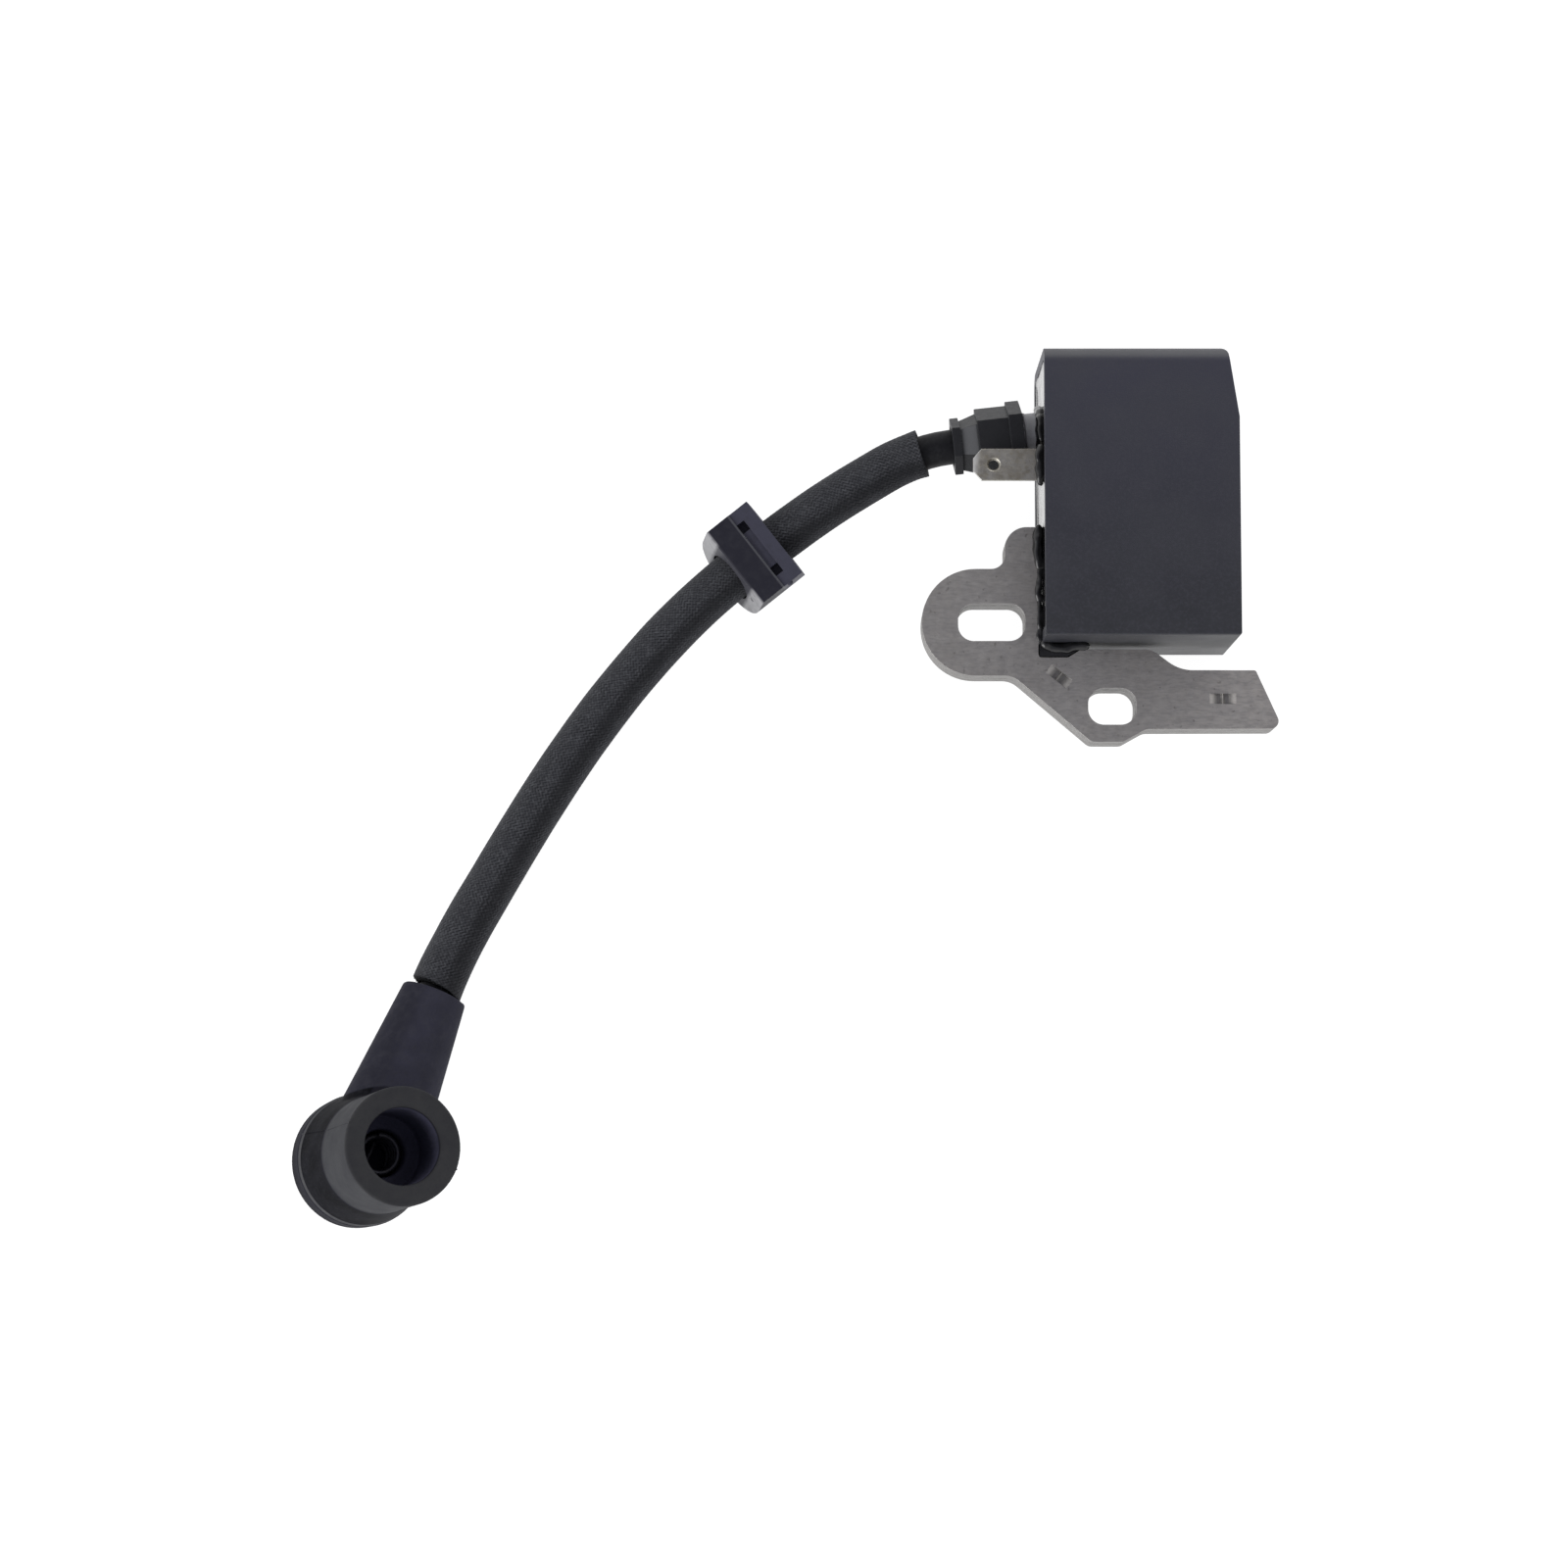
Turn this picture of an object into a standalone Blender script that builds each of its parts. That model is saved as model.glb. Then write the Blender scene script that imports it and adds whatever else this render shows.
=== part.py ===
"""Ignition module of a small two-stroke engine, with its high-tension lead and spark plug boot.

The module lies on its back: +Z points away from the engine block, +X towards the flywheel side
and +Y along the housing. The origin is the middle of the module's footprint, on the surface that
it lies on. Sizes below are millimetres and the model is built in metres.
"""

import math

import bmesh
import bpy
from mathutils import Matrix, Vector

MM = 0.001
GAP = 0.3                     # running gap between pieces that touch or are potted together

# Housing: a cup that is open towards -X
HOUSING_LEFT = -8.7
HOUSING_RIGHT = 20.5
HOUSING_BOTTOM = -14.1
HOUSING_TOP = 29.65
HOUSING_DEPTH = 24.0
WALL = 1.6
SHOULDER_Y = 18.9             # where the flywheel side starts to slope back
SHOULDER_INSET = 1.7          # how far it has sloped back at the top
TOP_EDGE_RADIUS = 2.4
CORNER_RADIUS = 1.5
SMALL_EDGE_RADIUS = 0.4

# Laminated core
SHEET_COUNT = 11
SHEET_THICKNESS = 0.6
SHEET_PITCH = 0.64
CORE_BACK = 8.5               # height of the core's rear face
CORE_FRONT = CORE_BACK + (SHEET_COUNT - 1) * SHEET_PITCH + SHEET_THICKNESS
LEG_Y = -1.0                  # middle of the leg that carries the coil
LEG_HALF_WIDTH = 4.5
POLE_X = 20.6                 # pole face at the end of that leg
YOKE_INNER_X = -9.3
EAR_CENTRE = (-18.75, -11.05)
EAR_RADIUS = 8.15
SLOT_1 = (-16.35, -11.05, 10.15, 5.7)     # centre x, centre y, length, width
SLOT_2 = (1.8, -23.85, 7.3, 5.55)
SLOT_CORNER = 2.4

# Coil on the leg, as distances outwards from the leg's surface
MID_HEIGHT = (CORE_BACK + CORE_FRONT) / 2
LEG_HALF_HEIGHT = (CORE_FRONT - CORE_BACK) / 2
COIL_START = -4.6
COIL_END = 18.4
FLANGE = 0.8
PRIMARY_TUBE = (0.3, 1.0)
PRIMARY_WIRE = (1.3, 2.4)
PRIMARY_FLANGE = 2.5
SECONDARY_TUBE = (2.8, 3.4)
SECONDARY_WIRE = (3.7, 5.1)
SECONDARY_FLANGE = 5.4
SECONDARY_SECTIONS = 5

# Potting resin
RESIN_FACE = HOUSING_LEFT + 0.3
RESIN_PLUG_INNER = -6.3
COIL_POCKET_OFFSET = 5.7
ELECTRONICS_POCKET = ((RESIN_PLUG_INNER, 11.0, 3.2), (19.5, 26.6, 13.2))
TERMINAL_POCKET = ((RESIN_PLUG_INNER, 11.0, 3.2), (-1.6, 24.0, 20.8))

# Circuit board and its parts
BOARD = ((-4.5, 11.8, 4.5), (16.5, 25.8, 5.7))
BOARD_TOP = BOARD[1][2] + GAP

# Stop-wire spade terminal
SPADE_TIP = -19.2
SPADE_ROOT = -8.9             # where the full blade ends, just outside the housing
SPADE_INNER = -4.7
SPADE_Y = 12.5
SPADE_WIDTH = 4.8
SPADE_BACK = 18.1
SPADE_THICKNESS = 0.8
SPADE_STEM_STEP = 0.1         # how much each face of the buried stem lies below the blade's
SPADE_HOLE = (-16.1, 0.75)    # x of its centre, radius
SPADE_CHAMFER = (1.25, 1.4)   # along the tab, across it

# High-tension outlet: measured along its axis from the small end of the cap
OUTLET_ORIGIN = (-22.06, 16.44, MID_HEIGHT)
OUTLET_SLOPE = math.radians(6.3)
CAP_LENGTH = 10.8
CAP_BORE_DEPTH = 4.1
CAP_TURN = 90.0               # degrees from the top to a corner of its six sides
TOWER_START = 7.0
TOWER_SHOULDER = CAP_LENGTH + GAP
TOWER_END = 18.5
TOWER_RADIUS = 3.75
TOWER_NECK_RADIUS = 3.45
LEAD_START = 13.2
CAP_PROFILE = (               # radius at a corner of its six sides, distance along the outlet
    (0, 0), (4.4, 0), (4.4, 1.3), (3.85, 1.3), (4.7, 3.9), (5.45, 3.9), (5.45, 8.7), (6.05, 8.7),
    (6.05, CAP_LENGTH), (0, CAP_LENGTH),
)
TOWER_PROFILE = (
    (2.95, TOWER_START), (2.95, 14.5), (0.9, 14.5), (0.9, TOWER_END), (4.7, TOWER_END), (4.7, 16.6),
    (TOWER_RADIUS, 16.6), (TOWER_RADIUS, TOWER_SHOULDER), (TOWER_NECK_RADIUS, TOWER_SHOULDER),
    (TOWER_NECK_RADIUS, TOWER_START),
)
CONTACT_PIN_PROFILE = ((0, 13.5), (2.2, 13.5), (2.2, 14.2), (0.6, 14.2), (0.6, 20.0), (0, 20.0))

# Lead, sleeve and grommet
LEAD_RADIUS = 2.65
LEAD_BORE = 3.0
SLEEVE_OUTER = 3.85
SLEEVE_INNER = 3.05
SLEEVE_START_GAP = 4.7        # from the cap's small end
SLEEVE_END_GAP = 1.1          # to the boot's mouth
ROUTE = (
    (-24.2, 16.1, 11.9),
    (-27.3, 15.3, 11.5),
    (-30.8, 13.95, 10.95),
    (-34.4, 12.0, 10.35),
    (-42.4, 7.1, 9.15),
    (-52.15, 0.05, 7.9),
    (-62.05, -8.25, 6.4),
    (-70.5, -17.2, 5.1),
    (-78.45, -27.4, 4.3),
    (-85.5, -38.1, 4.15),
    (-92.0, -48.95, 4.15),
    (-97.3, -58.35, 4.25),
)

# Grommet: flat on top and round below, measured along the lead towards the boot
GROMMET_POINT = 5             # the route point that it sits on
GROMMET_BORE = 4.4
GROMMET_HALF_WIDTH = 6.9
GROMMET_TOP = 5.4             # flat top, above the lead's axis
GROMMET_ROUND = 0.3           # middle of its round underside, above the lead's axis
GROMMET_START = -4.3
GROMMET_END = 3.4             # at the top; the end face leans out from there to the widest level
GROMMET_LEAN = math.radians(16.0)
GROMMET_BAND = (-2.2, -0.8)
GROMMET_BAND_DEPTH = 0.3
GROMMET_POCKET = (3.3, 4.9)   # from side to side
GROMMET_POCKET_DEPTH = 1.9

# Boot: measured along the barrel from its closed end, and along the neck from the barrel's axis
BARREL_BACK = (-113.1, -92.4, 3.85)
BARREL_AXIS = (0.385, 0.100, 0.9175)
BARREL_LENGTH = 25.0
BARREL_PROFILE = (            # radius, distance: a flange, a slight cone and the mouth's straight end
    (0, 0), (9.5, 0), (10.15, 0.6), (10.15, 4.3), (9.75, 4.7), (8.95, 13.0), (8.8, 13.2),
    (8.8, BARREL_LENGTH), (0, BARREL_LENGTH),
)
NECK_HEIGHT = 7.2             # where the neck's axis meets the barrel's
NECK_START = 5.0
NECK_MOUTH = (-101.05, -66.85, 5.3)
NECK_ROOT_RADIUS = 7.25
NECK_MOUTH_RADIUS = 5.0
SOCKET_RADIUS = 5.7
SOCKET_FLOOR = 14.5
INNER_BORE_RADIUS = 3.6
INNER_BORE_FLOOR = 4.0
LEAD_END = 4.2                # where the lead stops inside the neck


# ---------------------------------------------------------------- outlines

def arc(centre, radius, start, end, steps):
    """Points on an arc, angles in degrees, both ends included."""
    points = []
    for index in range(steps + 1):
        angle = math.radians(start + (end - start) * index / steps)
        points.append((centre[0] + radius * math.cos(angle), centre[1] + radius * math.sin(angle)))
    return points


def rounded(corners, step_degrees=15.0):
    """Round the corners of a closed outline. A corner is (x, y, radius)."""
    outline = []
    count = len(corners)
    for index, (x, y, radius) in enumerate(corners):
        corner = Vector((x, y))
        if radius == 0:
            outline.append((x, y))
            continue
        to_previous = (Vector(corners[index - 1][:2]) - corner).normalized()
        to_next = (Vector(corners[(index + 1) % count][:2]) - corner).normalized()
        inner_angle = to_previous.angle(to_next)
        centre = corner + (to_previous + to_next).normalized() * radius / math.sin(inner_angle / 2)
        reach = radius / math.tan(inner_angle / 2)
        first = corner + to_previous * reach - centre
        turn = first.angle_signed(corner + to_next * reach - centre)
        steps = max(2, round(abs(math.degrees(turn)) / step_degrees))
        for step in range(steps + 1):
            angle = -turn * step / steps
            spoke = Matrix.Rotation(angle, 2) @ first
            outline.append((centre.x + spoke.x, centre.y + spoke.y))
    return outline


def slot_outline(slot):
    """An oblong hole: centre x, centre y, length and width along X and Y."""
    x, y, length, width = slot
    return [(x + across, y + up) for across, up in rounded_rectangle(length / 2, width / 2, SLOT_CORNER, 5)]


def rounded_rectangle(half_width, half_height, radius, steps=3):
    """A rectangle about the origin with round corners, anticlockwise."""
    points = []
    for quarter, (sign_x, sign_y) in enumerate(((1, 1), (-1, 1), (-1, -1), (1, -1))):
        centre = (sign_x * (half_width - radius), sign_y * (half_height - radius))
        points += arc(centre, radius, 90 * quarter, 90 * quarter + 90, steps)
    return points


# ---------------------------------------------------------------- solids

def make_object(name, build, placement=None):
    """Finish a bmesh in millimetres as a named object in metres."""
    bmesh.ops.remove_doubles(build, verts=build.verts, dist=1e-5)
    bmesh.ops.recalc_face_normals(build, faces=build.faces)
    bmesh.ops.scale(build, vec=(MM, MM, MM), verts=build.verts)
    mesh = bpy.data.meshes.new(name)
    build.to_mesh(mesh)
    build.free()
    mesh.shade_smooth()
    mesh.set_sharp_from_angle(angle=math.radians(35))
    item = bpy.data.objects.new(name, mesh)
    if placement is not None:
        item.matrix_world = placement
    bpy.context.scene.collection.objects.link(item)
    return item


def prism(name, outline, low, high, placement=None):
    """Extrude an XY outline along Z."""
    build = bmesh.new()
    bottom = [build.verts.new((x, y, low)) for x, y in outline]
    face = build.faces.new(bottom)
    lifted = bmesh.ops.extrude_face_region(build, geom=[face])
    top = [item for item in lifted["geom"] if isinstance(item, bmesh.types.BMVert)]
    bmesh.ops.translate(build, vec=(0, 0, high - low), verts=top)
    return make_object(name, build, placement)


def prism_along_x(name, outline, low, high):
    """Extrude a YZ outline along X."""
    turn = Matrix(((0, 0, 1, 0), (1, 0, 0, 0), (0, 1, 0, 0), (0, 0, 0, 1)))
    item = prism(name, outline, low, high)
    item.data.transform(turn)
    return item


def block(name, low, high):
    """A box between two corners."""
    outline = [(low[0], low[1]), (high[0], low[1]), (high[0], high[1]), (low[0], high[1])]
    return prism(name, outline, low[2], high[2])


def turned(name, profile, placement, segments=32, phase=0.0):
    """Turn a profile of (radius, height) about Z. It starts and ends on the axis, or is closed."""
    build = bmesh.new()
    closed = profile[0][0] > 0
    spokes = [math.radians(phase) + 2 * math.pi * index / segments for index in range(segments)]
    rings = []
    for radius, height in profile:
        if radius == 0:
            rings.append([build.verts.new((0, 0, height))] * segments)
            continue
        ring = [build.verts.new((radius * math.cos(a), radius * math.sin(a), height)) for a in spokes]
        rings.append(ring)
    pairs = list(zip(rings, rings[1:]))
    if closed:
        pairs.append((rings[-1], rings[0]))
    for lower, upper in pairs:
        for index in range(segments):
            following = (index + 1) % segments
            corners = [lower[index], lower[following], upper[following], upper[index]]
            build.faces.new(list(dict.fromkeys(corners)))
    return make_object(name, build, placement)


def around_leg(name, profile):
    """Sweep a closed profile of (x, distance from the leg) round the leg's section."""
    build = bmesh.new()
    loops = []
    for x, distance in profile:
        outline = rounded_rectangle(
            LEG_HALF_WIDTH + distance, LEG_HALF_HEIGHT + distance, 0.6 + distance * 0.9
        )
        loops.append([build.verts.new((x, LEG_Y + y, MID_HEIGHT + z)) for y, z in outline])
    for index, loop in enumerate(loops):
        following = loops[(index + 1) % len(loops)]
        for corner in range(len(loop)):
            after = (corner + 1) % len(loop)
            build.faces.new((loop[corner], loop[after], following[after], following[corner]))
    return make_object(name, build)


def combine(target, tool, operation):
    """Join, cut or intersect the target with a tool, which is used up."""
    modifier = target.modifiers.new(operation.lower(), "BOOLEAN")
    modifier.operation = operation
    modifier.solver = "EXACT"
    modifier.object = tool
    bpy.context.view_layer.update()
    evaluated = target.evaluated_get(bpy.context.evaluated_depsgraph_get())
    mesh = bpy.data.meshes.new_from_object(evaluated)
    mesh.name = target.name
    target.modifiers.clear()
    target.data = mesh
    bpy.data.objects.remove(tool)
    return target


def cut(target, *tools):
    for tool in tools:
        combine(target, tool, "DIFFERENCE")
    return target


def join(target, *tools):
    for tool in tools:
        combine(target, tool, "UNION")
    return target


# ---------------------------------------------------------------- paths

def frame_at(origin, axis, side_hint=(0, 0, 1)):
    """A placement in metres whose Z runs along the axis and whose X leans towards the hint."""
    z_axis = Vector(axis).normalized()
    x_axis = Vector(side_hint) - z_axis * z_axis.dot(Vector(side_hint))
    x_axis.normalize()
    y_axis = z_axis.cross(x_axis)
    turn = Matrix((x_axis, y_axis, z_axis)).transposed().to_4x4()
    return Matrix.Translation(Vector(origin) * MM) @ turn


def smooth_path(points, spacing):
    """Points about one spacing apart on a smooth curve through the given points."""
    points = [Vector(point) for point in points]
    lengths = [(end - start).length for start, end in zip(points, points[1:])]
    courses = [(end - start) / length for start, end, length in zip(points, points[1:], lengths)]
    tangents = [courses[0]]
    for index in range(1, len(courses)):
        before, after = lengths[index - 1], lengths[index]
        tangents.append((courses[index - 1] * after + courses[index] * before) / (before + after))
    tangents.append(courses[-1])
    path = []
    for index, length in enumerate(lengths):
        start, end = points[index], points[index + 1]
        leave, arrive = tangents[index] * length, tangents[index + 1] * length
        steps = max(1, round(length / spacing))
        for step in range(steps):
            t = step / steps
            bend = 3 * (end - start) - 2 * leave - arrive
            twist = leave + arrive - 2 * (end - start)
            path.append(start + leave * t + bend * t * t + twist * t * t * t)
    path.append(points[-1])
    return path


def path_between(path, start, end):
    """The stretch of a path between two distances from its first point."""
    stretch = []
    travelled = 0.0
    for first, second in zip(path, path[1:]):
        step = (second - first).length
        for mark in (start, end):
            if travelled <= mark < travelled + step:
                stretch.append(first.lerp(second, (mark - travelled) / step))
        travelled += step
        if start + 1e-6 < travelled < end - 1e-6:
            stretch.append(second)
    return stretch


def cord_object(name, path, radius, resolution):
    """A round cord: a poly curve with a bevel and filled ends."""
    curve = bpy.data.curves.new(name, "CURVE")
    curve.dimensions = "3D"
    curve.bevel_depth = radius * MM
    curve.bevel_resolution = resolution
    curve.use_fill_caps = True
    spline = curve.splines.new("POLY")
    spline.points.add(len(path) - 1)
    for point, place in zip(spline.points, path):
        point.co = (place[0] * MM, place[1] * MM, place[2] * MM, 1.0)
    item = bpy.data.objects.new(name, curve)
    bpy.context.scene.collection.objects.link(item)
    return item


def hollow_tube(name, path, outer, inner, sides=12):
    """A tube with a bore along a path."""
    build = bmesh.new()
    normal = Vector((0, 0, 1))
    outer_rings = []
    inner_rings = []
    for index, place in enumerate(path):
        ahead = path[min(index + 1, len(path) - 1)]
        behind = path[max(index - 1, 0)]
        tangent = (ahead - behind).normalized()
        normal = (normal - tangent * normal.dot(tangent)).normalized()
        side = tangent.cross(normal)
        spokes = []
        for corner in range(sides):
            angle = 2 * math.pi * corner / sides
            spokes.append(normal * math.cos(angle) + side * math.sin(angle))
        outer_rings.append([build.verts.new(place + spoke * outer) for spoke in spokes])
        inner_rings.append([build.verts.new(place + spoke * inner) for spoke in spokes])
    rings = outer_rings + inner_rings[::-1]
    for index, ring in enumerate(rings):
        following = rings[(index + 1) % len(rings)]
        for corner in range(sides):
            after = (corner + 1) % sides
            build.faces.new((ring[corner], ring[after], following[after], following[corner]))
    return make_object(name, build)


# ---------------------------------------------------------------- materials

def material(name, colour, roughness, metallic=0.0):
    """A plain Principled material."""
    item = bpy.data.materials.new(name)
    item.use_nodes = True
    shader = item.node_tree.nodes["Principled BSDF"]
    shader.inputs["Base Color"].default_value = (*colour, 1.0)
    shader.inputs["Roughness"].default_value = roughness
    shader.inputs["Metallic"].default_value = metallic
    return item


def finish(item, name, colour, roughness, metallic=0.0):
    item.data.materials.clear()
    item.data.materials.append(material(name, colour, roughness, metallic))
    return item


# ---------------------------------------------------------------- housing and resin

def housing_outline(inset, left):
    """The housing's XY outline, moved inwards by an inset."""
    right = HOUSING_RIGHT - inset
    bottom = HOUSING_BOTTOM + inset
    top = HOUSING_TOP - inset
    corner = max(CORNER_RADIUS - inset, SMALL_EDGE_RADIUS)
    return rounded([
        (left, bottom, 0),
        (right, bottom, SMALL_EDGE_RADIUS),
        (right, SHOULDER_Y, 0),
        (right - SHOULDER_INSET, top, corner),
        (left, top, 0),
    ], 30)


def housing_section(inset):
    """The housing's YZ section, moved inwards by an inset."""
    bottom = HOUSING_BOTTOM + inset
    top = HOUSING_TOP - inset
    radius = TOP_EDGE_RADIUS - inset / 2
    return rounded([
        (bottom, inset, SMALL_EDGE_RADIUS),
        (top, inset, radius),
        (top, HOUSING_DEPTH - inset, radius),
        (bottom, HOUSING_DEPTH - inset, SMALL_EDGE_RADIUS),
    ], 22.5)


def housing_body(name, inset, left):
    """The housing's outer shape, or the space inside it, as one solid."""
    body = prism(name, housing_outline(inset, left), inset, HOUSING_DEPTH - inset)
    section = prism_along_x("section", housing_section(inset), left - 1, HOUSING_RIGHT + 1)
    return combine(body, section, "INTERSECT")


def leg_window(name, start, end):
    """The opening that the coil's leg passes through."""
    low = (start, LEG_Y - LEG_HALF_WIDTH - GAP, CORE_BACK - GAP)
    high = (end, LEG_Y + LEG_HALF_WIDTH + GAP, CORE_FRONT + GAP)
    return block(name, low, high)


def make_housing():
    housing = housing_body("housing", 0.0, HOUSING_LEFT)
    cavity = housing_body("cavity", WALL, HOUSING_LEFT - 2)
    window = leg_window("window", HOUSING_RIGHT - WALL - 1, HOUSING_RIGHT + 1)
    cut(housing, cavity, window)
    return finish(housing, "black_housing_plastic", (0.035, 0.036, 0.044), 0.55)


def make_resin():
    resin = housing_body("potting_resin", WALL + GAP, RESIN_FACE)
    half_width = LEG_HALF_WIDTH + COIL_POCKET_OFFSET
    half_height = LEG_HALF_HEIGHT + COIL_POCKET_OFFSET
    pocket_outline = []
    for y, z in rounded_rectangle(half_width, half_height, 4.0):
        pocket_outline.append((y + LEG_Y, z + MID_HEIGHT))
    coil_pocket = prism_along_x("coil_pocket", pocket_outline, RESIN_PLUG_INNER, HOUSING_RIGHT)
    electronics_pocket = block("electronics_pocket", *ELECTRONICS_POCKET)
    terminal_pocket = block("terminal_pocket", *TERMINAL_POCKET)
    wire_channel = block("wire_channel", (RESIN_PLUG_INNER, 7.0, 4.0), (-2.6, 12.5, 9.0))
    window = leg_window("window", RESIN_FACE - 1, RESIN_PLUG_INNER + 1)
    tower_hole = turned(
        "tower_hole",
        [(0, 11.5), (TOWER_RADIUS + GAP, 11.5), (TOWER_RADIUS + GAP, 17.5), (0, 17.5)],
        outlet_frame(),
    )
    spade_low = (RESIN_FACE - 1, SPADE_Y - SPADE_WIDTH / 2 - GAP, SPADE_BACK - GAP)
    spade_high = (SPADE_INNER + GAP, SPADE_Y + SPADE_WIDTH / 2 + GAP, SPADE_BACK + SPADE_THICKNESS + GAP)
    spade_hole = block("spade_hole", spade_low, spade_high)
    cut(resin, coil_pocket, electronics_pocket, terminal_pocket, wire_channel)
    cut(resin, window, tower_hole, spade_hole)
    return finish(resin, "black_potting_resin", (0.012, 0.012, 0.013), 0.18)


# ---------------------------------------------------------------- core and coil

def core_outline():
    """The core sheet: coil leg, yoke with the mounting ear, and lower leg with its slanted shoe."""
    ear_left = EAR_CENTRE[0] - EAR_RADIUS
    ear_top = EAR_CENTRE[1] + EAR_RADIUS
    ear_bottom = EAR_CENTRE[1] - EAR_RADIUS
    leg_top = LEG_Y + LEG_HALF_WIDTH
    leg_bottom = LEG_Y - LEG_HALF_WIDTH
    return rounded([
        (POLE_X, leg_top, 0),
        (-14.3, leg_top, 3.3),
        (-14.3, ear_top, 2.1),
        (ear_left, ear_top, EAR_RADIUS - 0.01),
        (ear_left, ear_bottom, EAR_RADIUS - 0.01),
        (-13.2, ear_bottom, 3.6),
        (-1.4, -29.25, 1.5),
        (3.4, -29.25, 1.5),
        (6.9, -27.3, 2.0),
        (27.6, -27.25, 1.2),
        (23.5, -18.35, 0.4),
        (12.0, -18.35, 3.0),
        (7.8, -15.2, 1.5),
        (-2.9, -15.2, 1.5),
        (-4.8, -16.4, 1.0),
        (YOKE_INNER_X, -16.4, 0.5),
        (YOKE_INNER_X, leg_bottom, 0.5),
        (POLE_X, leg_bottom, 0),
    ])


def make_core():
    """The stack of stamped sheets, which share one mesh."""
    pattern = prism("core_sheet", core_outline(), 0.0, SHEET_THICKNESS)
    for slot in (SLOT_1, SLOT_2):
        cut(pattern, prism("slot", slot_outline(slot), -1.0, SHEET_THICKNESS + 1.0))
    finish(pattern, "bright_core_steel", (0.17, 0.165, 0.16), 0.35, 1.0)
    for index in range(SHEET_COUNT):
        sheet = bpy.data.objects.new(f"core_sheet_{index + 1:02d}", pattern.data)
        sheet.location.z = (CORE_BACK + index * SHEET_PITCH) * MM
        bpy.context.scene.collection.objects.link(sheet)
    bpy.data.objects.remove(pattern)


def bobbin_profile(tube, flange_height, flange_starts):
    """A bobbin's section: a tube with flanges on its outside."""
    inner, outer = tube
    profile = [(COIL_END, inner), (COIL_START, inner)]
    for start in flange_starts:
        profile += [(start, outer), (start, flange_height), (start + FLANGE, flange_height),
                    (start + FLANGE, outer)]
    return profile


def ring_profile(start, end, layer):
    return [(end, layer[0]), (start, layer[0]), (start, layer[1]), (end, layer[1])]


def make_coil():
    bobbin_plastic = ((0.32, 0.30, 0.25), 0.5)
    copper = ((0.45, 0.18, 0.07), 0.3, 1.0)
    last_flange = COIL_END - FLANGE
    primary_bobbin = around_leg(
        "primary_bobbin", bobbin_profile(PRIMARY_TUBE, PRIMARY_FLANGE, (COIL_START, last_flange))
    )
    finish(primary_bobbin, "primary_bobbin_plastic", *bobbin_plastic)
    primary = around_leg(
        "primary_winding", ring_profile(COIL_START + FLANGE + GAP, last_flange - GAP, PRIMARY_WIRE)
    )
    finish(primary, "primary_copper", *copper)

    pitch = (last_flange - COIL_START) / SECONDARY_SECTIONS
    flange_starts = [COIL_START + pitch * index for index in range(SECONDARY_SECTIONS + 1)]
    secondary_bobbin = around_leg(
        "secondary_bobbin", bobbin_profile(SECONDARY_TUBE, SECONDARY_FLANGE, flange_starts)
    )
    finish(secondary_bobbin, "secondary_bobbin_plastic", *bobbin_plastic)
    for index, start in enumerate(flange_starts[:-1]):
        section = around_leg(
            f"secondary_winding_{index + 1}",
            ring_profile(start + FLANGE + GAP, start + pitch - GAP, SECONDARY_WIRE),
        )
        finish(section, f"secondary_copper_{index + 1}", *copper)


# ---------------------------------------------------------------- electronics

def make_board():
    board = block("circuit_board", *BOARD)
    finish(board, "board_laminate", (0.05, 0.16, 0.07), 0.5)


def make_power_transistor():
    """A flat plastic power package with a metal tab and three legs."""
    middle = 12.0
    body = block("power_transistor", (middle - 4.2, 13.0, BOARD_TOP), (middle + 4.2, 21.0, BOARD_TOP + 4.2))
    tab = block("tab", (middle - 4.0, 20.5, BOARD_TOP), (middle + 4.0, 25.0, BOARD_TOP + 1.2))
    join(body, tab)
    hole = turned("tab_hole", [(0, -1), (1.6, -1), (1.6, 3), (0, 3)],
                  Matrix.Translation(Vector((middle, 23.2, BOARD_TOP)) * MM), 20)
    cut(body, hole)
    for offset in (-2.5, 0.0, 2.5):
        x = middle + offset
        leg = block("leg", (x - 0.35, 12.0, BOARD_TOP + 0.5), (x + 0.35, 13.5, BOARD_TOP + 1.0))
        join(body, leg)
    finish(body, "transistor_epoxy", (0.02, 0.02, 0.022), 0.4)


def make_driver_transistor():
    """A small D-shaped plastic package standing on the board."""
    outline = arc((0.8, 23.2), 2.2, -35, 215, 12)
    item = prism("driver_transistor", outline, BOARD_TOP, BOARD_TOP + 4.6)
    finish(item, "driver_transistor_epoxy", (0.02, 0.02, 0.022), 0.45)


def make_capacitor():
    outline = []
    for x, y in rounded_rectangle(3.2, 1.3, 0.5, 2):
        outline.append((x + 1.0, y + 13.8))
    item = prism("timing_capacitor", outline, BOARD_TOP, BOARD_TOP + 6.5)
    finish(item, "capacitor_lacquer", (0.25, 0.06, 0.03), 0.35)


def make_axial_part(name, centre, axis, length, radius, waist, colour):
    """A resistor or diode lying on the board with its two wire ends."""
    half = length / 2
    profile = [
        (0, -half - 1.0), (0.3, -half - 1.0), (0.3, -half), (radius, -half + 0.2),
        (radius, -half + 1.4), (waist, -half + 1.8), (waist, half - 1.8), (radius, half - 1.4),
        (radius, half - 0.2), (0.3, half), (0.3, half + 1.0), (0, half + 1.0),
    ]
    place = (centre[0], centre[1], BOARD_TOP + radius)
    item = turned(name, profile, frame_at(place, axis), 16)
    finish(item, name + "_body", colour, 0.4)


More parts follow.
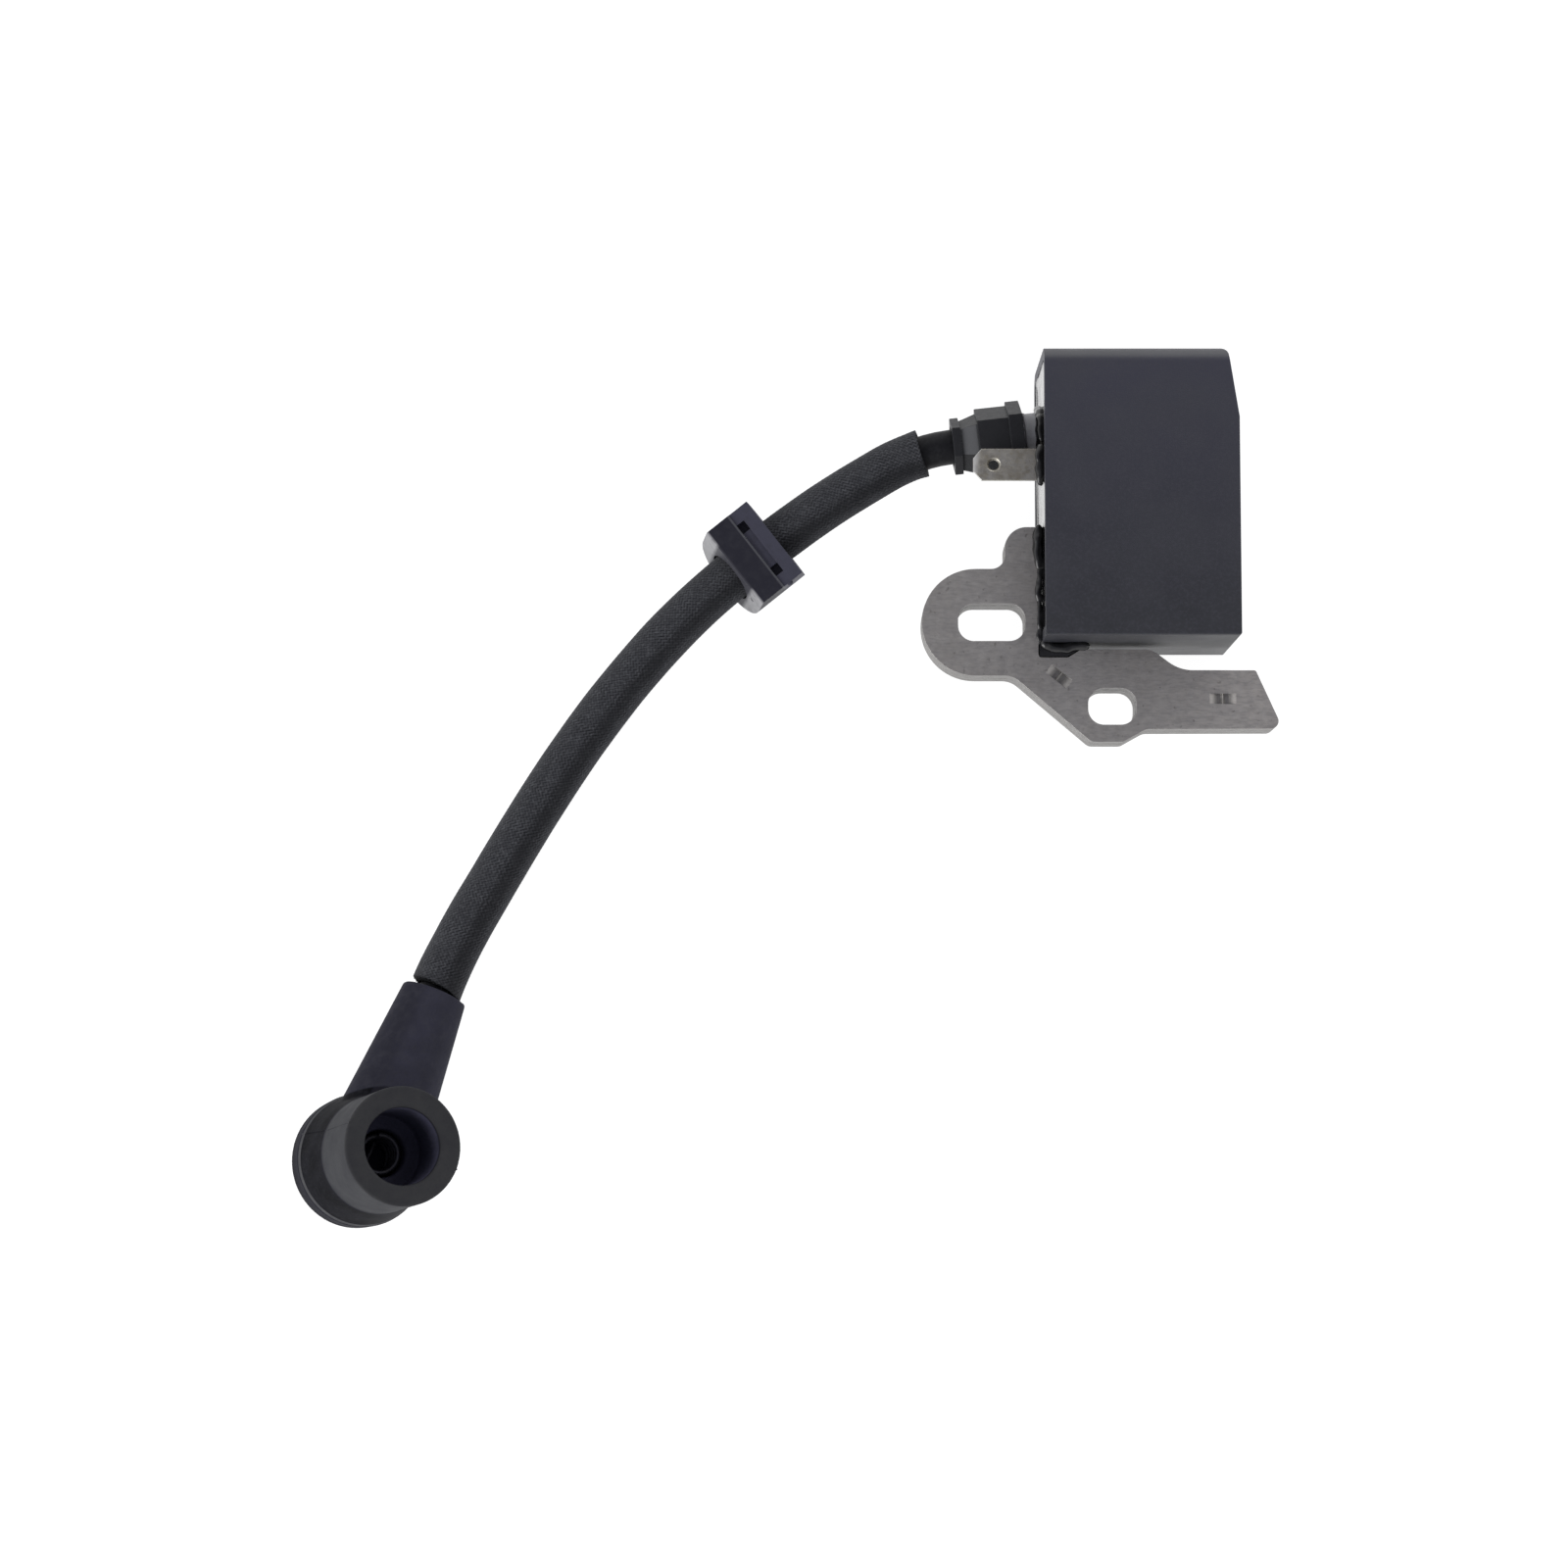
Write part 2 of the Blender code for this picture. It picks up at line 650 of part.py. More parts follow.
def make_electronics():
    make_board()
    make_power_transistor()
    make_driver_transistor()
    make_capacitor()
    resistor_tan = (0.45, 0.32, 0.18)
    make_axial_part("bias_resistor", (0.2, 16.7), (1, 0, 0), 6.0, 1.2, 1.0, resistor_tan)
    make_axial_part("sense_resistor", (0.2, 19.4), (1, 0, 0), 6.0, 1.2, 1.0, resistor_tan)
    make_axial_part("protection_diode", (5.9, 18.0), (0, 1, 0), 5.0, 1.3, 1.3, (0.03, 0.03, 0.03))


def make_ground_lead():
    """The bare wire from the board to the coil's leg, which earths the module."""
    points = [(-2.6, 12.9, BOARD_TOP + 0.5), (-3.4, 11.6, 6.6), (-4.4, 10.0, 6.8),
              (-5.5, 8.4, 7.6), (-5.6, 6.4, 9.2), (-5.6, 4.5, 11.5)]
    wire = cord_object("ground_lead", smooth_path(points, 1.2), 0.4, 2)
    finish(wire, "tinned_ground_wire", (0.55, 0.53, 0.5), 0.3, 1.0)


# ---------------------------------------------------------------- outlets

def make_spade():
    """The stop-wire tab, with a thinner stem in the resin and a tail down to the board."""
    low = SPADE_Y - SPADE_WIDTH / 2
    high = SPADE_Y + SPADE_WIDTH / 2
    along, across = SPADE_CHAMFER
    front = SPADE_BACK + SPADE_THICKNESS
    outline = [
        (SPADE_ROOT, low), (SPADE_ROOT, high), (SPADE_TIP + along, high), (SPADE_TIP, high - across),
        (SPADE_TIP, low + across), (SPADE_TIP + along, low),
    ]
    spade = prism("spade_terminal", outline, SPADE_BACK, front)
    stem_low = (SPADE_ROOT - 1.0, low, SPADE_BACK + SPADE_STEM_STEP)
    join(spade, block("stem", stem_low, (SPADE_INNER, high, front - SPADE_STEM_STEP)))
    hole = turned("hole", [(0, -1), (SPADE_HOLE[1], -1), (SPADE_HOLE[1], 2), (0, 2)],
                  Matrix.Translation(Vector((SPADE_HOLE[0], SPADE_Y, SPADE_BACK)) * MM), 20)
    cut(spade, hole)
    tail_low = (SPADE_INNER - SPADE_THICKNESS, SPADE_Y - 1.3, BOARD_TOP)
    tail_high = (SPADE_INNER, SPADE_Y + 0.7, (SPADE_BACK + front) / 2)
    tail = block("tail", tail_low, tail_high)
    join(spade, tail)
    finish(spade, "tinned_brass", (0.42, 0.40, 0.36), 0.3, 1.0)


def outlet_frame():
    """Z runs along the outlet into the housing, from the small end of the cap."""
    axis = (math.cos(OUTLET_SLOPE), math.sin(OUTLET_SLOPE), 0)
    return frame_at(OUTLET_ORIGIN, axis)


def outlet_point(distance):
    return outlet_frame() @ Vector((0, 0, distance * MM)) / MM


def make_outlet():
    tower = turned("ht_tower", TOWER_PROFILE, outlet_frame())
    finish(tower, "grey_tower_plastic", (0.09, 0.09, 0.10), 0.5)

    pin = turned("ht_contact_pin", CONTACT_PIN_PROFILE, outlet_frame(), 20)
    finish(pin, "contact_brass", (0.5, 0.36, 0.14), 0.3, 1.0)

    cap = turned("strain_relief_cap", CAP_PROFILE, outlet_frame(), 6, CAP_TURN)
    lead_bore = turned("lead_bore", [(0, -1), (LEAD_BORE, -1), (LEAD_BORE, 8), (0, 8)], outlet_frame(), 24)
    bore_floor = CAP_LENGTH - CAP_BORE_DEPTH
    bore_radius = TOWER_NECK_RADIUS + GAP
    tower_bore = turned(
        "tower_bore", [(0, bore_floor), (bore_radius, bore_floor), (bore_radius, 12), (0, 12)],
        outlet_frame(), 24,
    )
    cut(cap, lead_bore, tower_bore)
    finish(cap, "black_cap_plastic", (0.03, 0.03, 0.034), 0.4)


# ---------------------------------------------------------------- lead and boot

def boot_frame():
    """Z runs up the barrel from its closed end and X leans towards the neck."""
    towards_neck = Vector(NECK_MOUTH) - Vector(BARREL_BACK)
    return frame_at(BARREL_BACK, BARREL_AXIS, towards_neck)


def neck_root():
    return boot_frame() @ Vector((0, 0, NECK_HEIGHT * MM)) / MM


def neck_direction():
    return (Vector(NECK_MOUTH) - neck_root()).normalized()


def neck_length():
    return (Vector(NECK_MOUTH) - neck_root()).length


def neck_point(distance):
    return neck_root() + neck_direction() * distance


def neck_frame():
    return frame_at(neck_root(), neck_direction(), BARREL_AXIS)


def lead_path():
    """The lead's middle line, from the contact pin to its end in the boot."""
    start = [outlet_point(distance) for distance in (LEAD_START, 8.0, 3.0, 0.0)]
    mouth = neck_length()
    end = [neck_point(distance) for distance in (mouth + 3, mouth - 1, 19.0, 11.0, LEAD_END)]
    return smooth_path(start + [Vector(point) for point in ROUTE] + end, 3.0)


def path_length(path):
    return sum((second - first).length for first, second in zip(path, path[1:]))


def make_lead():
    path = lead_path()
    lead = cord_object("ht_lead", path, LEAD_RADIUS, 3)
    finish(lead, "lead_insulation", (0.016, 0.016, 0.018), 0.45)
    sleeve_start = LEAD_START + SLEEVE_START_GAP
    sleeve_end = path_length(path) - (neck_length() - LEAD_END) - SLEEVE_END_GAP
    sleeve_path = path_between(path, sleeve_start, sleeve_end)
    sleeve = hollow_tube("braided_sleeve", sleeve_path, SLEEVE_OUTER, SLEEVE_INNER)
    finish(sleeve, "braided_textile", (0.03, 0.032, 0.036), 0.8)


def grommet_frame():
    """Z runs along the lead towards the boot and X points up."""
    tangent = Vector(ROUTE[GROMMET_POINT + 1]) - Vector(ROUTE[GROMMET_POINT - 1])
    return frame_at(ROUTE[GROMMET_POINT], tangent)


def make_grommet():
    """A rubber block on the sleeve, with a shallow band across its top and a pocket at each end of it."""
    frame = grommet_frame()
    outline = arc((GROMMET_ROUND, 0), GROMMET_HALF_WIDTH, 90, 270, 14)
    outline += [(GROMMET_TOP, -GROMMET_HALF_WIDTH), (GROMMET_TOP, GROMMET_HALF_WIDTH)]
    grommet = prism("grommet", outline, GROMMET_START, GROMMET_END)
    for vertex in grommet.data.vertices:
        if vertex.co.z > 0:
            vertex.co.z += (GROMMET_TOP * MM - vertex.co.x) * math.tan(GROMMET_LEAN)
    grommet.matrix_world = frame
    near, far = GROMMET_BAND
    inner, outer = GROMMET_POCKET
    above = GROMMET_TOP + 1
    floor = GROMMET_TOP - GROMMET_POCKET_DEPTH
    tools = [
        turned("bore", [(0, -6), (GROMMET_BORE, -6), (GROMMET_BORE, 8), (0, 8)], frame, 24),
        block("band", (GROMMET_TOP - GROMMET_BAND_DEPTH, -inner, near), (above, inner, far)),
        block("pocket", (floor, inner, near), (above, outer, far)),
        block("pocket", (floor, -outer, near), (above, -inner, far)),
    ]
    for tool in tools[1:]:
        tool.matrix_world = frame
    cut(grommet, *tools)
    finish(grommet, "grommet_rubber", (0.022, 0.022, 0.026), 0.5)


def make_boot():
    boot = turned("spark_plug_boot", BARREL_PROFILE, boot_frame(), 36)
    length = neck_length()
    neck_profile = [(0, NECK_START), (NECK_ROOT_RADIUS, NECK_START), (NECK_MOUTH_RADIUS, length), (0, length)]
    neck = turned("neck", neck_profile, neck_frame(), 28)
    join(boot, neck)
    top = BARREL_LENGTH + 2
    inner_bore = turned(
        "inner_bore",
        [(0, INNER_BORE_FLOOR), (INNER_BORE_RADIUS, INNER_BORE_FLOOR), (INNER_BORE_RADIUS, SOCKET_FLOOR),
         (SOCKET_RADIUS, SOCKET_FLOOR), (SOCKET_RADIUS, top), (0, top)],
        boot_frame(), 28,
    )
    neck_bore = turned(
        "neck_bore", [(0, 1.0), (LEAD_BORE, 1.0), (LEAD_BORE, length + 2), (0, length + 2)],
        neck_frame(), 24,
    )
    cut(boot, inner_bore, neck_bore)
    finish(boot, "boot_rubber", (0.024, 0.025, 0.029), 0.5)


def make_boot_spring():
    """The wire terminal: a spike that meets the lead, then a coil that grips the plug."""
    coil_radius = 2.8
    pitch = 1.25
    lift = 0.7
    turns = 4.5
    steps_per_turn = 14
    points = [(LEAD_END - 0.5, 0, NECK_HEIGHT), (1.2, 0, NECK_HEIGHT), (-1.3, 0, NECK_HEIGHT)]
    for step in range(int(turns * steps_per_turn) + 1):
        angle = 2 * math.pi * step / steps_per_turn
        height = NECK_HEIGHT + lift * min(angle / math.pi, 1.0) + pitch * angle / (2 * math.pi)
        spoke = math.pi + 0.5 + angle
        points.append((coil_radius * math.cos(spoke), coil_radius * math.sin(spoke), height))
    spring = cord_object("boot_spring", smooth_path(points, 1.2), 0.4, 1)
    spring.matrix_world = boot_frame()
    finish(spring, "spring_wire", (0.5, 0.5, 0.5), 0.25, 1.0)


def main():
    for item in list(bpy.data.objects):
        bpy.data.objects.remove(item)
    make_housing()
    make_resin()
    make_core()
    make_coil()
    make_electronics()
    make_ground_lead()
    make_spade()
    make_outlet()
    make_lead()
    make_grommet()
    make_boot()
    make_boot_spring()


main()
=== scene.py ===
"""Looks of a small engine's ignition module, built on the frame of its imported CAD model.

The part lies on its back, so Z points up off the table. Lengths are millimetres until a piece
is finished, and the scene itself is in metres.
"""
import math

import bmesh
import bpy
from mathutils import Matrix, Vector, noise


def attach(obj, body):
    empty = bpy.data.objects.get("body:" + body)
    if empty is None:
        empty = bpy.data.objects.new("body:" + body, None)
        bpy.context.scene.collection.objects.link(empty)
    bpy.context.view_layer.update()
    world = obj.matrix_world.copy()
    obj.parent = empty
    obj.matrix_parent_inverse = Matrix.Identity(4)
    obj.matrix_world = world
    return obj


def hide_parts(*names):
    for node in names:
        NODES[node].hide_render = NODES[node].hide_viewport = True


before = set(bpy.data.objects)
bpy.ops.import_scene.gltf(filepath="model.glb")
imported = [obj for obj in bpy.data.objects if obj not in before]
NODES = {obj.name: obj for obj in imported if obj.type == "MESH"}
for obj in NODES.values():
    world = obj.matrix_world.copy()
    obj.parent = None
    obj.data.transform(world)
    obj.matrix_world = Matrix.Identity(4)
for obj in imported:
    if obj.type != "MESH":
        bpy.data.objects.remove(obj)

MM = 0.001
NOISE_SEED = 5                # the vector noise would otherwise start from the clock
WAVE_SCALE = 0.314159         # one band of a wave texture per unit
GAP = 0.3                     # between the coil's leg and the window in the housing
X_AXIS = Vector((1, 0, 0))
Y_AXIS = Vector((0, 1, 0))
Z_AXIS = Vector((0, 0, 1))
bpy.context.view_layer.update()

# Camera: above the middle of the view, leaning towards -Y
VIEW_CENTRE = (-47.75, -34.15, 0.0)
VIEW_DISTANCE = 600.0
VIEW_LEAN = math.radians(5.4)
LENS = 89.1

# Light: the tent's brightness by height, lamps as (name, direction, metres away, size, watts)
TENT = (
    (0.0, (1.05, 1.05, 1.05)),
    (0.45, (0.95, 0.95, 0.97)),
    (0.8, (0.42, 0.42, 0.45)),
    (1.0, (0.25, 0.25, 0.29)),
)
LAMPS = (
    ("key", (-0.75, -0.55, 0.42), 0.9, 0.7, 5.0),
    ("fill", (0.5, 0.85, 0.5), 1.1, 0.7, 3.0),
)
FLOOR_GLOW = 0.9

# Lead, as in the CAD model
LEAD_RADIUS = 2.65
LEAD_START = 13.2
LEAD_END = 4.2
LEAD_FINE_STEP = 0.5
ROUTE = (
    (-24.2, 16.1, 11.9),
    (-27.3, 15.3, 11.5),
    (-30.8, 13.95, 10.95),
    (-34.4, 12.0, 10.35),
    (-42.4, 7.1, 9.15),
    (-52.15, 0.05, 7.9),
    (-62.05, -8.25, 6.4),
    (-70.5, -17.2, 5.1),
    (-78.45, -27.4, 4.3),
    (-85.5, -38.1, 4.15),
    (-92.0, -48.95, 4.15),
    (-97.3, -58.35, 4.25),
)
SLEEVE_START_GAP = 4.7
SLEEVE_END_GAP = 0.85
SLEEVE_RADII = (              # share of its length, outer radius
    (0.0, 3.62), (0.35, 3.72), (0.75, 3.84), (0.93, 3.9), (1.0, 4.05),
)
SLEEVE_BORE = 3.05
SLEEVE_SLANT = 0.7
SLEEVE_LONG_SIDE = (0.87, -0.49, 0.0)
# the side of the sleeve that is painted in shade
SLEEVE_SHADED_SIDE = (0.70, -0.71, 0.0)
SLEEVE_FLARE = 0.1            # how much wider it is at the cap
SLEEVE_FLARE_LENGTH = 1.6
SLEEVE_FRAY_LENGTH = 6.0
SLEEVE_UNEVENNESS = 0.05
BRAID_YARNS = 36
BRAID_RELIEF = 0.2
BRAID_RINGS_PER_PITCH = 3.9
BRAID_RINGS_PER_BORE_RING = 13
THREAD_COUNT = 22
THREAD_RADIUS = 0.075

# Outlet: lengths run along its axis from the small end of the cap
OUTLET_ORIGIN = (-22.06, 16.44, 12.0)
OUTLET_SLOPE = math.radians(6.3)
CAP_LENGTH = 10.8
CAP_TAPER_START = 1.3
CAP_TAPER_END = 3.9
CAP_PROFILE = (
    (0, 0), (4.4, 0), (4.4, CAP_TAPER_START), (3.85, CAP_TAPER_START),
    (4.7, CAP_TAPER_END), (5.45, CAP_TAPER_END), (5.45, 8.7), (6.05, 8.7),
    (6.05, CAP_LENGTH), (0, CAP_LENGTH),
)
CAP_BORE = 3.75
CAP_BORE_FLOOR = 6.7
LEAD_BORE = 3.0
TOWER_PROFILE = (
    (2.95, 7.0), (2.95, 14.5), (0.9, 14.5), (0.9, 18.5), (4.7, 18.5), (4.7, 16.6), (3.8, 16.6),
    (3.8, 11.5), (3.95, 11.3), (3.95, 11.1), (3.45, 11.1), (3.45, 7.0),
)
SPADE_TIP = -19.2
SPADE_INNER = -4.7
SPADE_Y = 12.5
SPADE_WIDTH = 4.8
SPADE_BACK = 18.1
SPADE_FRONT = 18.9
SPADE_HOLE = (-16.1, 0.75)    # x of its centre, radius
SPADE_CHAMFER = (1.25, 1.4)   # along the tab, across it
SPADE_COIN_LENGTH = 1.15
SPADE_SINK = 0.35
BOARD_TOP = 6.0

# Boot: lengths run up the barrel, and along the neck from the barrel's axis
BARREL_BACK = (-113.1, -92.4, 3.85)
BARREL_AXIS = (0.385, 0.100, 0.9175)
BARREL_LENGTH = 25.0
FLANGE_TOP = 4.2
BARREL_PROFILE = (            # radius, distance: flange, cone, the mouth's straight end
    (0, 0), (9.5, 0), (10.0, 0.3), (10.14, FLANGE_TOP), (9.85, 4.6), (8.97, 12.95), (8.85, 13.15),
    (8.85, BARREL_LENGTH), (0, BARREL_LENGTH),
)
BORE_PROFILE = (
    (0, 4.0), (3.6, 4.0), (3.6, 14.2), (3.9, 14.5), (5.7, 14.5), (5.7, 24.5), (6.1, 25.1), (0, 25.1),
)
NECK_HEIGHT = 7.2
NECK_MOUTH = (-101.05, -66.85, 5.3)
NECK_ROOT_RADIUS = 7.25
NECK_MOUTH_RADIUS = 5.0
# the side of the neck that is painted in shade
NECK_SHADED_SIDE = (-0.94, 0.35, 0.0)
NECK_TOP_SIDE = (0.25, 0.15, 0.957)
BOOT_VOXEL = 0.22
SPRING_RADIUS = 2.8
SPRING_PITCH = 1.25
SPRING_LIFT = 0.7
SPRING_TURNS = 4.5
SPRING_WIRE = 0.4

# Grommet: flat on top and round below, measured along the lead towards the boot
GROMMET_BORE = 4.0
GROMMET_HALF_WIDTH = 6.9
GROMMET_TOP = 5.4
GROMMET_ROUND = 0.3
GROMMET_START = -4.3
GROMMET_END = 3.4
GROMMET_LEAN = math.radians(16.0)
GROMMET_BAND = (-2.2, -0.8)
GROMMET_BAND_DEPTH = 0.3
GROMMET_STEP = 0.25           # the housing side of the top is this much lower
GROMMET_POCKET = (3.3, 4.9)   # from side to side
GROMMET_POCKET_DEPTH = 1.9
GROMMET_DIMPLE_SIDE = -5.0
GROMMET_DIMPLE_DROP = 3.6
GROMMET_DIMPLE_RADIUS = 0.42
GROMMET_NIB_DROP = 0.9
GROMMET_NIB_ALONG = -1.85

# Housing and core
HOUSING_LEFT = -8.7
HOUSING_RIGHT = 20.5
HOUSING_BOTTOM = -14.1
HOUSING_TOP = 29.65
HOUSING_DEPTH = 24.0
WALL = 1.6
SHOULDER_Y = 18.9
SHOULDER_INSET = 1.7
TOP_EDGE_RADIUS = 2.4
CORNER_RADIUS = 1.5
SMALL_EDGE_RADIUS = 0.4
EJECTOR_MARKS = ((-3.0, -9.0), (15.0, -9.0), (-3.0, 24.0), (13.0, 24.0))
EJECTOR_RADIUS = 1.8
EJECTOR_DEPTH = 0.2
RESIN_FACE = -8.4
RESIN_CREEP = 0.22
RESIN_CREEP_REACH = 0.55
RESIN_GRID_STEP = 0.35
RESIN_RIPPLE = 0.04
BEAD_SIDES = 20
LEG_Y = -1.0
LEG_HALF_WIDTH = 4.5
CORE_BACK = 8.5
CORE_FRONT = 15.5
SHEET_COUNT = 11
SHEET_THICKNESS = 0.6
SHEET_PITCH = 0.64
SHEET_DRIFT = 0.04
POLE_X = 20.6
YOKE_INNER_X = -9.3
YOKE_NECK_X = -14.3
YOKE_NECK_Y = -16.4
LOWER_LEG_TOP = -15.2
LOWER_LEG_BOTTOM = -29.25
SHOE_TOP = -18.35
EAR_CENTRE = (-18.75, -11.05)
EAR_RADIUS = 8.15
SLOT_1 = (-16.35, -11.05, 10.15, 5.7)     # centre x, centre y, length, width
SLOT_2 = (1.8, -23.85, 7.3, 5.55)
SLOT_CORNER = 2.4
INTERLOCKS = ((-6.2, -19.3, -38.0), (18.5, -22.7, 0.0))     # x, y, turn
INTERLOCK_WIDTH = 1.6
INTERLOCK_PROFILE = (
    (-2.0, 0.0), (-0.9, -0.5), (-0.3, -0.5), (0.0, -0.2), (0.3, -0.5), (0.9, -0.5), (2.0, 0.0),
    (2.0, 0.4), (-2.0, 0.4),
)
TOWER_EMERGES = 13.35         # along the outlet, where the tower comes out of the resin
COLLAR_RADIUS = 4.0
RESIN_POOL = (
    (-9.25, -16.35, 0.2), (-4.9, -16.35, 0.4), (-3.0, -15.25, 0.4), (-3.0, -14.15, 0), (-9.25, -14.15, 0),
)
RESIN_BEADS = (               # name, middle line, radius, unevenness, flatness
    ("resin_mound", ((-9.05, 3.9, 15.5), (-9.3, 2.0, 15.7), (-9.35, -0.5, 15.7), (-9.0, -3.2, 15.5)),
     0.75, 0.35, 0.9),
    ("resin_seam", ((-9.0, -2.6, 15.5), (-9.2, -6.0, 15.6), (-9.05, -9.5, 15.5), (-9.15, -14.2, 15.4)),
     0.5, 0.75, 0.8),
    ("resin_lip", (
        (-8.9, 9.3, 18.4), (-9.15, 10.6, 18.9), (-9.2, 12.5, 19.0), (-9.15, 14.4, 18.9), (-8.9, 15.7, 18.4),
    ), 0.65, 0.4, 0.7),
    ("resin_fillet", ((-9.0, -13.9, 15.4), (-6.9, -14.9, 15.2), (-4.6, -14.85, 15.3), (-1.5, -14.5, 15.4)),
     0.75, 0.4, 0.8),
)


# ---- outlines and paths

def arc(centre, radius, start, end, steps):
    """Points on an arc, angles in degrees, both ends included."""
    points = []
    for index in range(steps + 1):
        angle = math.radians(start + (end - start) * index / steps)
        points.append((centre[0] + radius * math.cos(angle), centre[1] + radius * math.sin(angle)))
    return points


def rounded(corners, step_degrees=7.5):
    """Round the corners of a closed outline. A corner is (x, y, radius)."""
    outline = []
    count = len(corners)
    for index, (x, y, radius) in enumerate(corners):
        corner = Vector((x, y))
        if radius == 0:
            outline.append((x, y))
            continue
        to_previous = (Vector(corners[index - 1][:2]) - corner).normalized()
        to_next = (Vector(corners[(index + 1) % count][:2]) - corner).normalized()
        inner_angle = to_previous.angle(to_next)
        centre = corner + (to_previous + to_next).normalized() * radius / math.sin(inner_angle / 2)
        reach = radius / math.tan(inner_angle / 2)
        first = corner + to_previous * reach - centre
        turn = first.angle_signed(corner + to_next * reach - centre)
        steps = max(2, round(abs(math.degrees(turn)) / step_degrees))
        for step in range(steps + 1):
            spoke = Matrix.Rotation(-turn * step / steps, 2) @ first
            outline.append((centre.x + spoke.x, centre.y + spoke.y))
    return outline


def frame_at(origin, axis, side_hint=(0, 0, 1)):
    """A placement in metres whose Z runs along the axis and whose X leans towards the hint."""
    z_axis = Vector(axis).normalized()
    x_axis = Vector(side_hint) - z_axis * z_axis.dot(Vector(side_hint))
    x_axis.normalize()
    y_axis = z_axis.cross(x_axis)
    turn = Matrix((x_axis, y_axis, z_axis)).transposed().to_4x4()
    return Matrix.Translation(Vector(origin) * MM) @ turn


def smooth_path(points, spacing):
    """Points about one spacing apart on a smooth curve through the given points."""
    points = [Vector(point) for point in points]
    lengths = [(end - start).length for start, end in zip(points, points[1:])]
    courses = [(end - start) / length for start, end, length in zip(points, points[1:], lengths)]
    tangents = [courses[0]]
    for index in range(1, len(courses)):
        before, after = lengths[index - 1], lengths[index]
        tangents.append((courses[index - 1] * after + courses[index] * before) / (before + after))
    tangents.append(courses[-1])
    path = []
    for index, length in enumerate(lengths):
        start, end = points[index], points[index + 1]
        leave, arrive = tangents[index] * length, tangents[index + 1] * length
        steps = max(1, round(length / spacing))
        for step in range(steps):
            t = step / steps
            bend = 3 * (end - start) - 2 * leave - arrive
            twist = leave + arrive - 2 * (end - start)
            path.append(start + leave * t + bend * t * t + twist * t * t * t)
    path.append(points[-1])
    return path


def path_length(path):
    return sum((second - first).length for first, second in zip(path, path[1:]))


def evenly_spaced(path, start, end, count):
    """Points at equal steps between two distances along a path."""
    marks = [start + (end - start) * index / (count - 1) for index in range(count)]
    points = []
    travelled = 0.0
    for first, second in zip(path, path[1:]):
        step = (second - first).length
        while len(points) < count and marks[len(points)] <= travelled + step + 1e-6:
            points.append(first.lerp(second, (marks[len(points)] - travelled) / step))
        travelled += step
    return points


def rings_along(path):
    """For each point of a path: the point, its course and two directions across it that don't twist."""
    normal = Z_AXIS.copy()
    places = []
    for index, place in enumerate(path):
        ahead = path[min(index + 1, len(path) - 1)]
        behind = path[max(index - 1, 0)]
        course = (ahead - behind).normalized()
        normal = (normal - course * normal.dot(course)).normalized()
        places.append((place, course, normal, course.cross(normal)))
    return places


def spoke_at(normal, side, angle):
    """The direction across a path at an angle from its normal."""
    return normal * math.cos(angle) + side * math.sin(angle)


# ---- solids

def new_object(name, build, placement=None):
    """Finish a bmesh in millimetres as a smooth object in metres."""
    bmesh.ops.remove_doubles(build, verts=build.verts, dist=1e-5)
    bmesh.ops.recalc_face_normals(build, faces=build.faces)
    bmesh.ops.scale(build, vec=(MM, MM, MM), verts=build.verts)
    mesh = bpy.data.meshes.new(name)
    build.to_mesh(mesh)
    build.free()
    mesh.shade_smooth()
    item = bpy.data.objects.new(name, mesh)
    if placement is not None:
        item.matrix_world = placement
    bpy.context.scene.collection.objects.link(item)
    return item


def bridge(build, rings, closed=False):
    """Faces from each ring of vertices to the next and, if closed, from the last to the first."""
    for lower, upper in zip(rings, rings[1:] + rings[:closed]):
        for index in range(len(lower)):
            after = (index + 1) % len(lower)
            corners = (lower[index], lower[after], upper[after], upper[index])
            build.faces.new(list(dict.fromkeys(corners)))


def prism(name, outline, low, high, placement=None, along_axis=2):
    """Extrude an XY outline along Z, an XZ outline along Y (1) or a YZ outline along X (0)."""
    def point(across, up, depth):
        values = [across, up]
        values.insert(along_axis, depth)
        return values

    build = bmesh.new()
    bottom = [build.verts.new(point(*corner, low)) for corner in outline]
    face = build.faces.new(bottom)
    lifted = bmesh.ops.extrude_face_region(build, geom=[face])
    top = [item for item in lifted["geom"] if isinstance(item, bmesh.types.BMVert)]
    bmesh.ops.translate(build, vec=point(0, 0, high - low), verts=top)
    return new_object(name, build, placement)


def block(name, low, high, placement=None):
    outline = [(low[0], low[1]), (high[0], low[1]), (high[0], high[1]), (low[0], high[1])]
    return prism(name, outline, low[2], high[2], placement)


def turned(name, profile, placement, segments=96, phase=0.0):
    """Turn a profile of (radius, height) about Z. It starts and ends on the axis, or is closed."""
    build = bmesh.new()
    spokes = [math.radians(phase) + 2 * math.pi * index / segments for index in range(segments)]
    rings = []
    for radius, height in profile:
        if radius == 0:
            rings.append([build.verts.new((0, 0, height))] * segments)
            continue
        rings.append([build.verts.new((radius * math.cos(a), radius * math.sin(a), height)) for a in spokes])
    bridge(build, rings, closed=profile[0][0] > 0)
    return new_object(name, build, placement)


def cylinder(name, radius, low, high, placement, segments=64):
    return turned(name, [(0, low), (radius, low), (radius, high), (0, high)], placement, segments)


def combine(target, tool, operation):
    """Join, cut or intersect the target with a tool, which is used up."""
    modifier = target.modifiers.new(operation.lower(), "BOOLEAN")
    modifier.operation = operation
    modifier.solver = "EXACT"
    modifier.object = tool
    settle(target)
    bpy.data.objects.remove(tool)
    return target


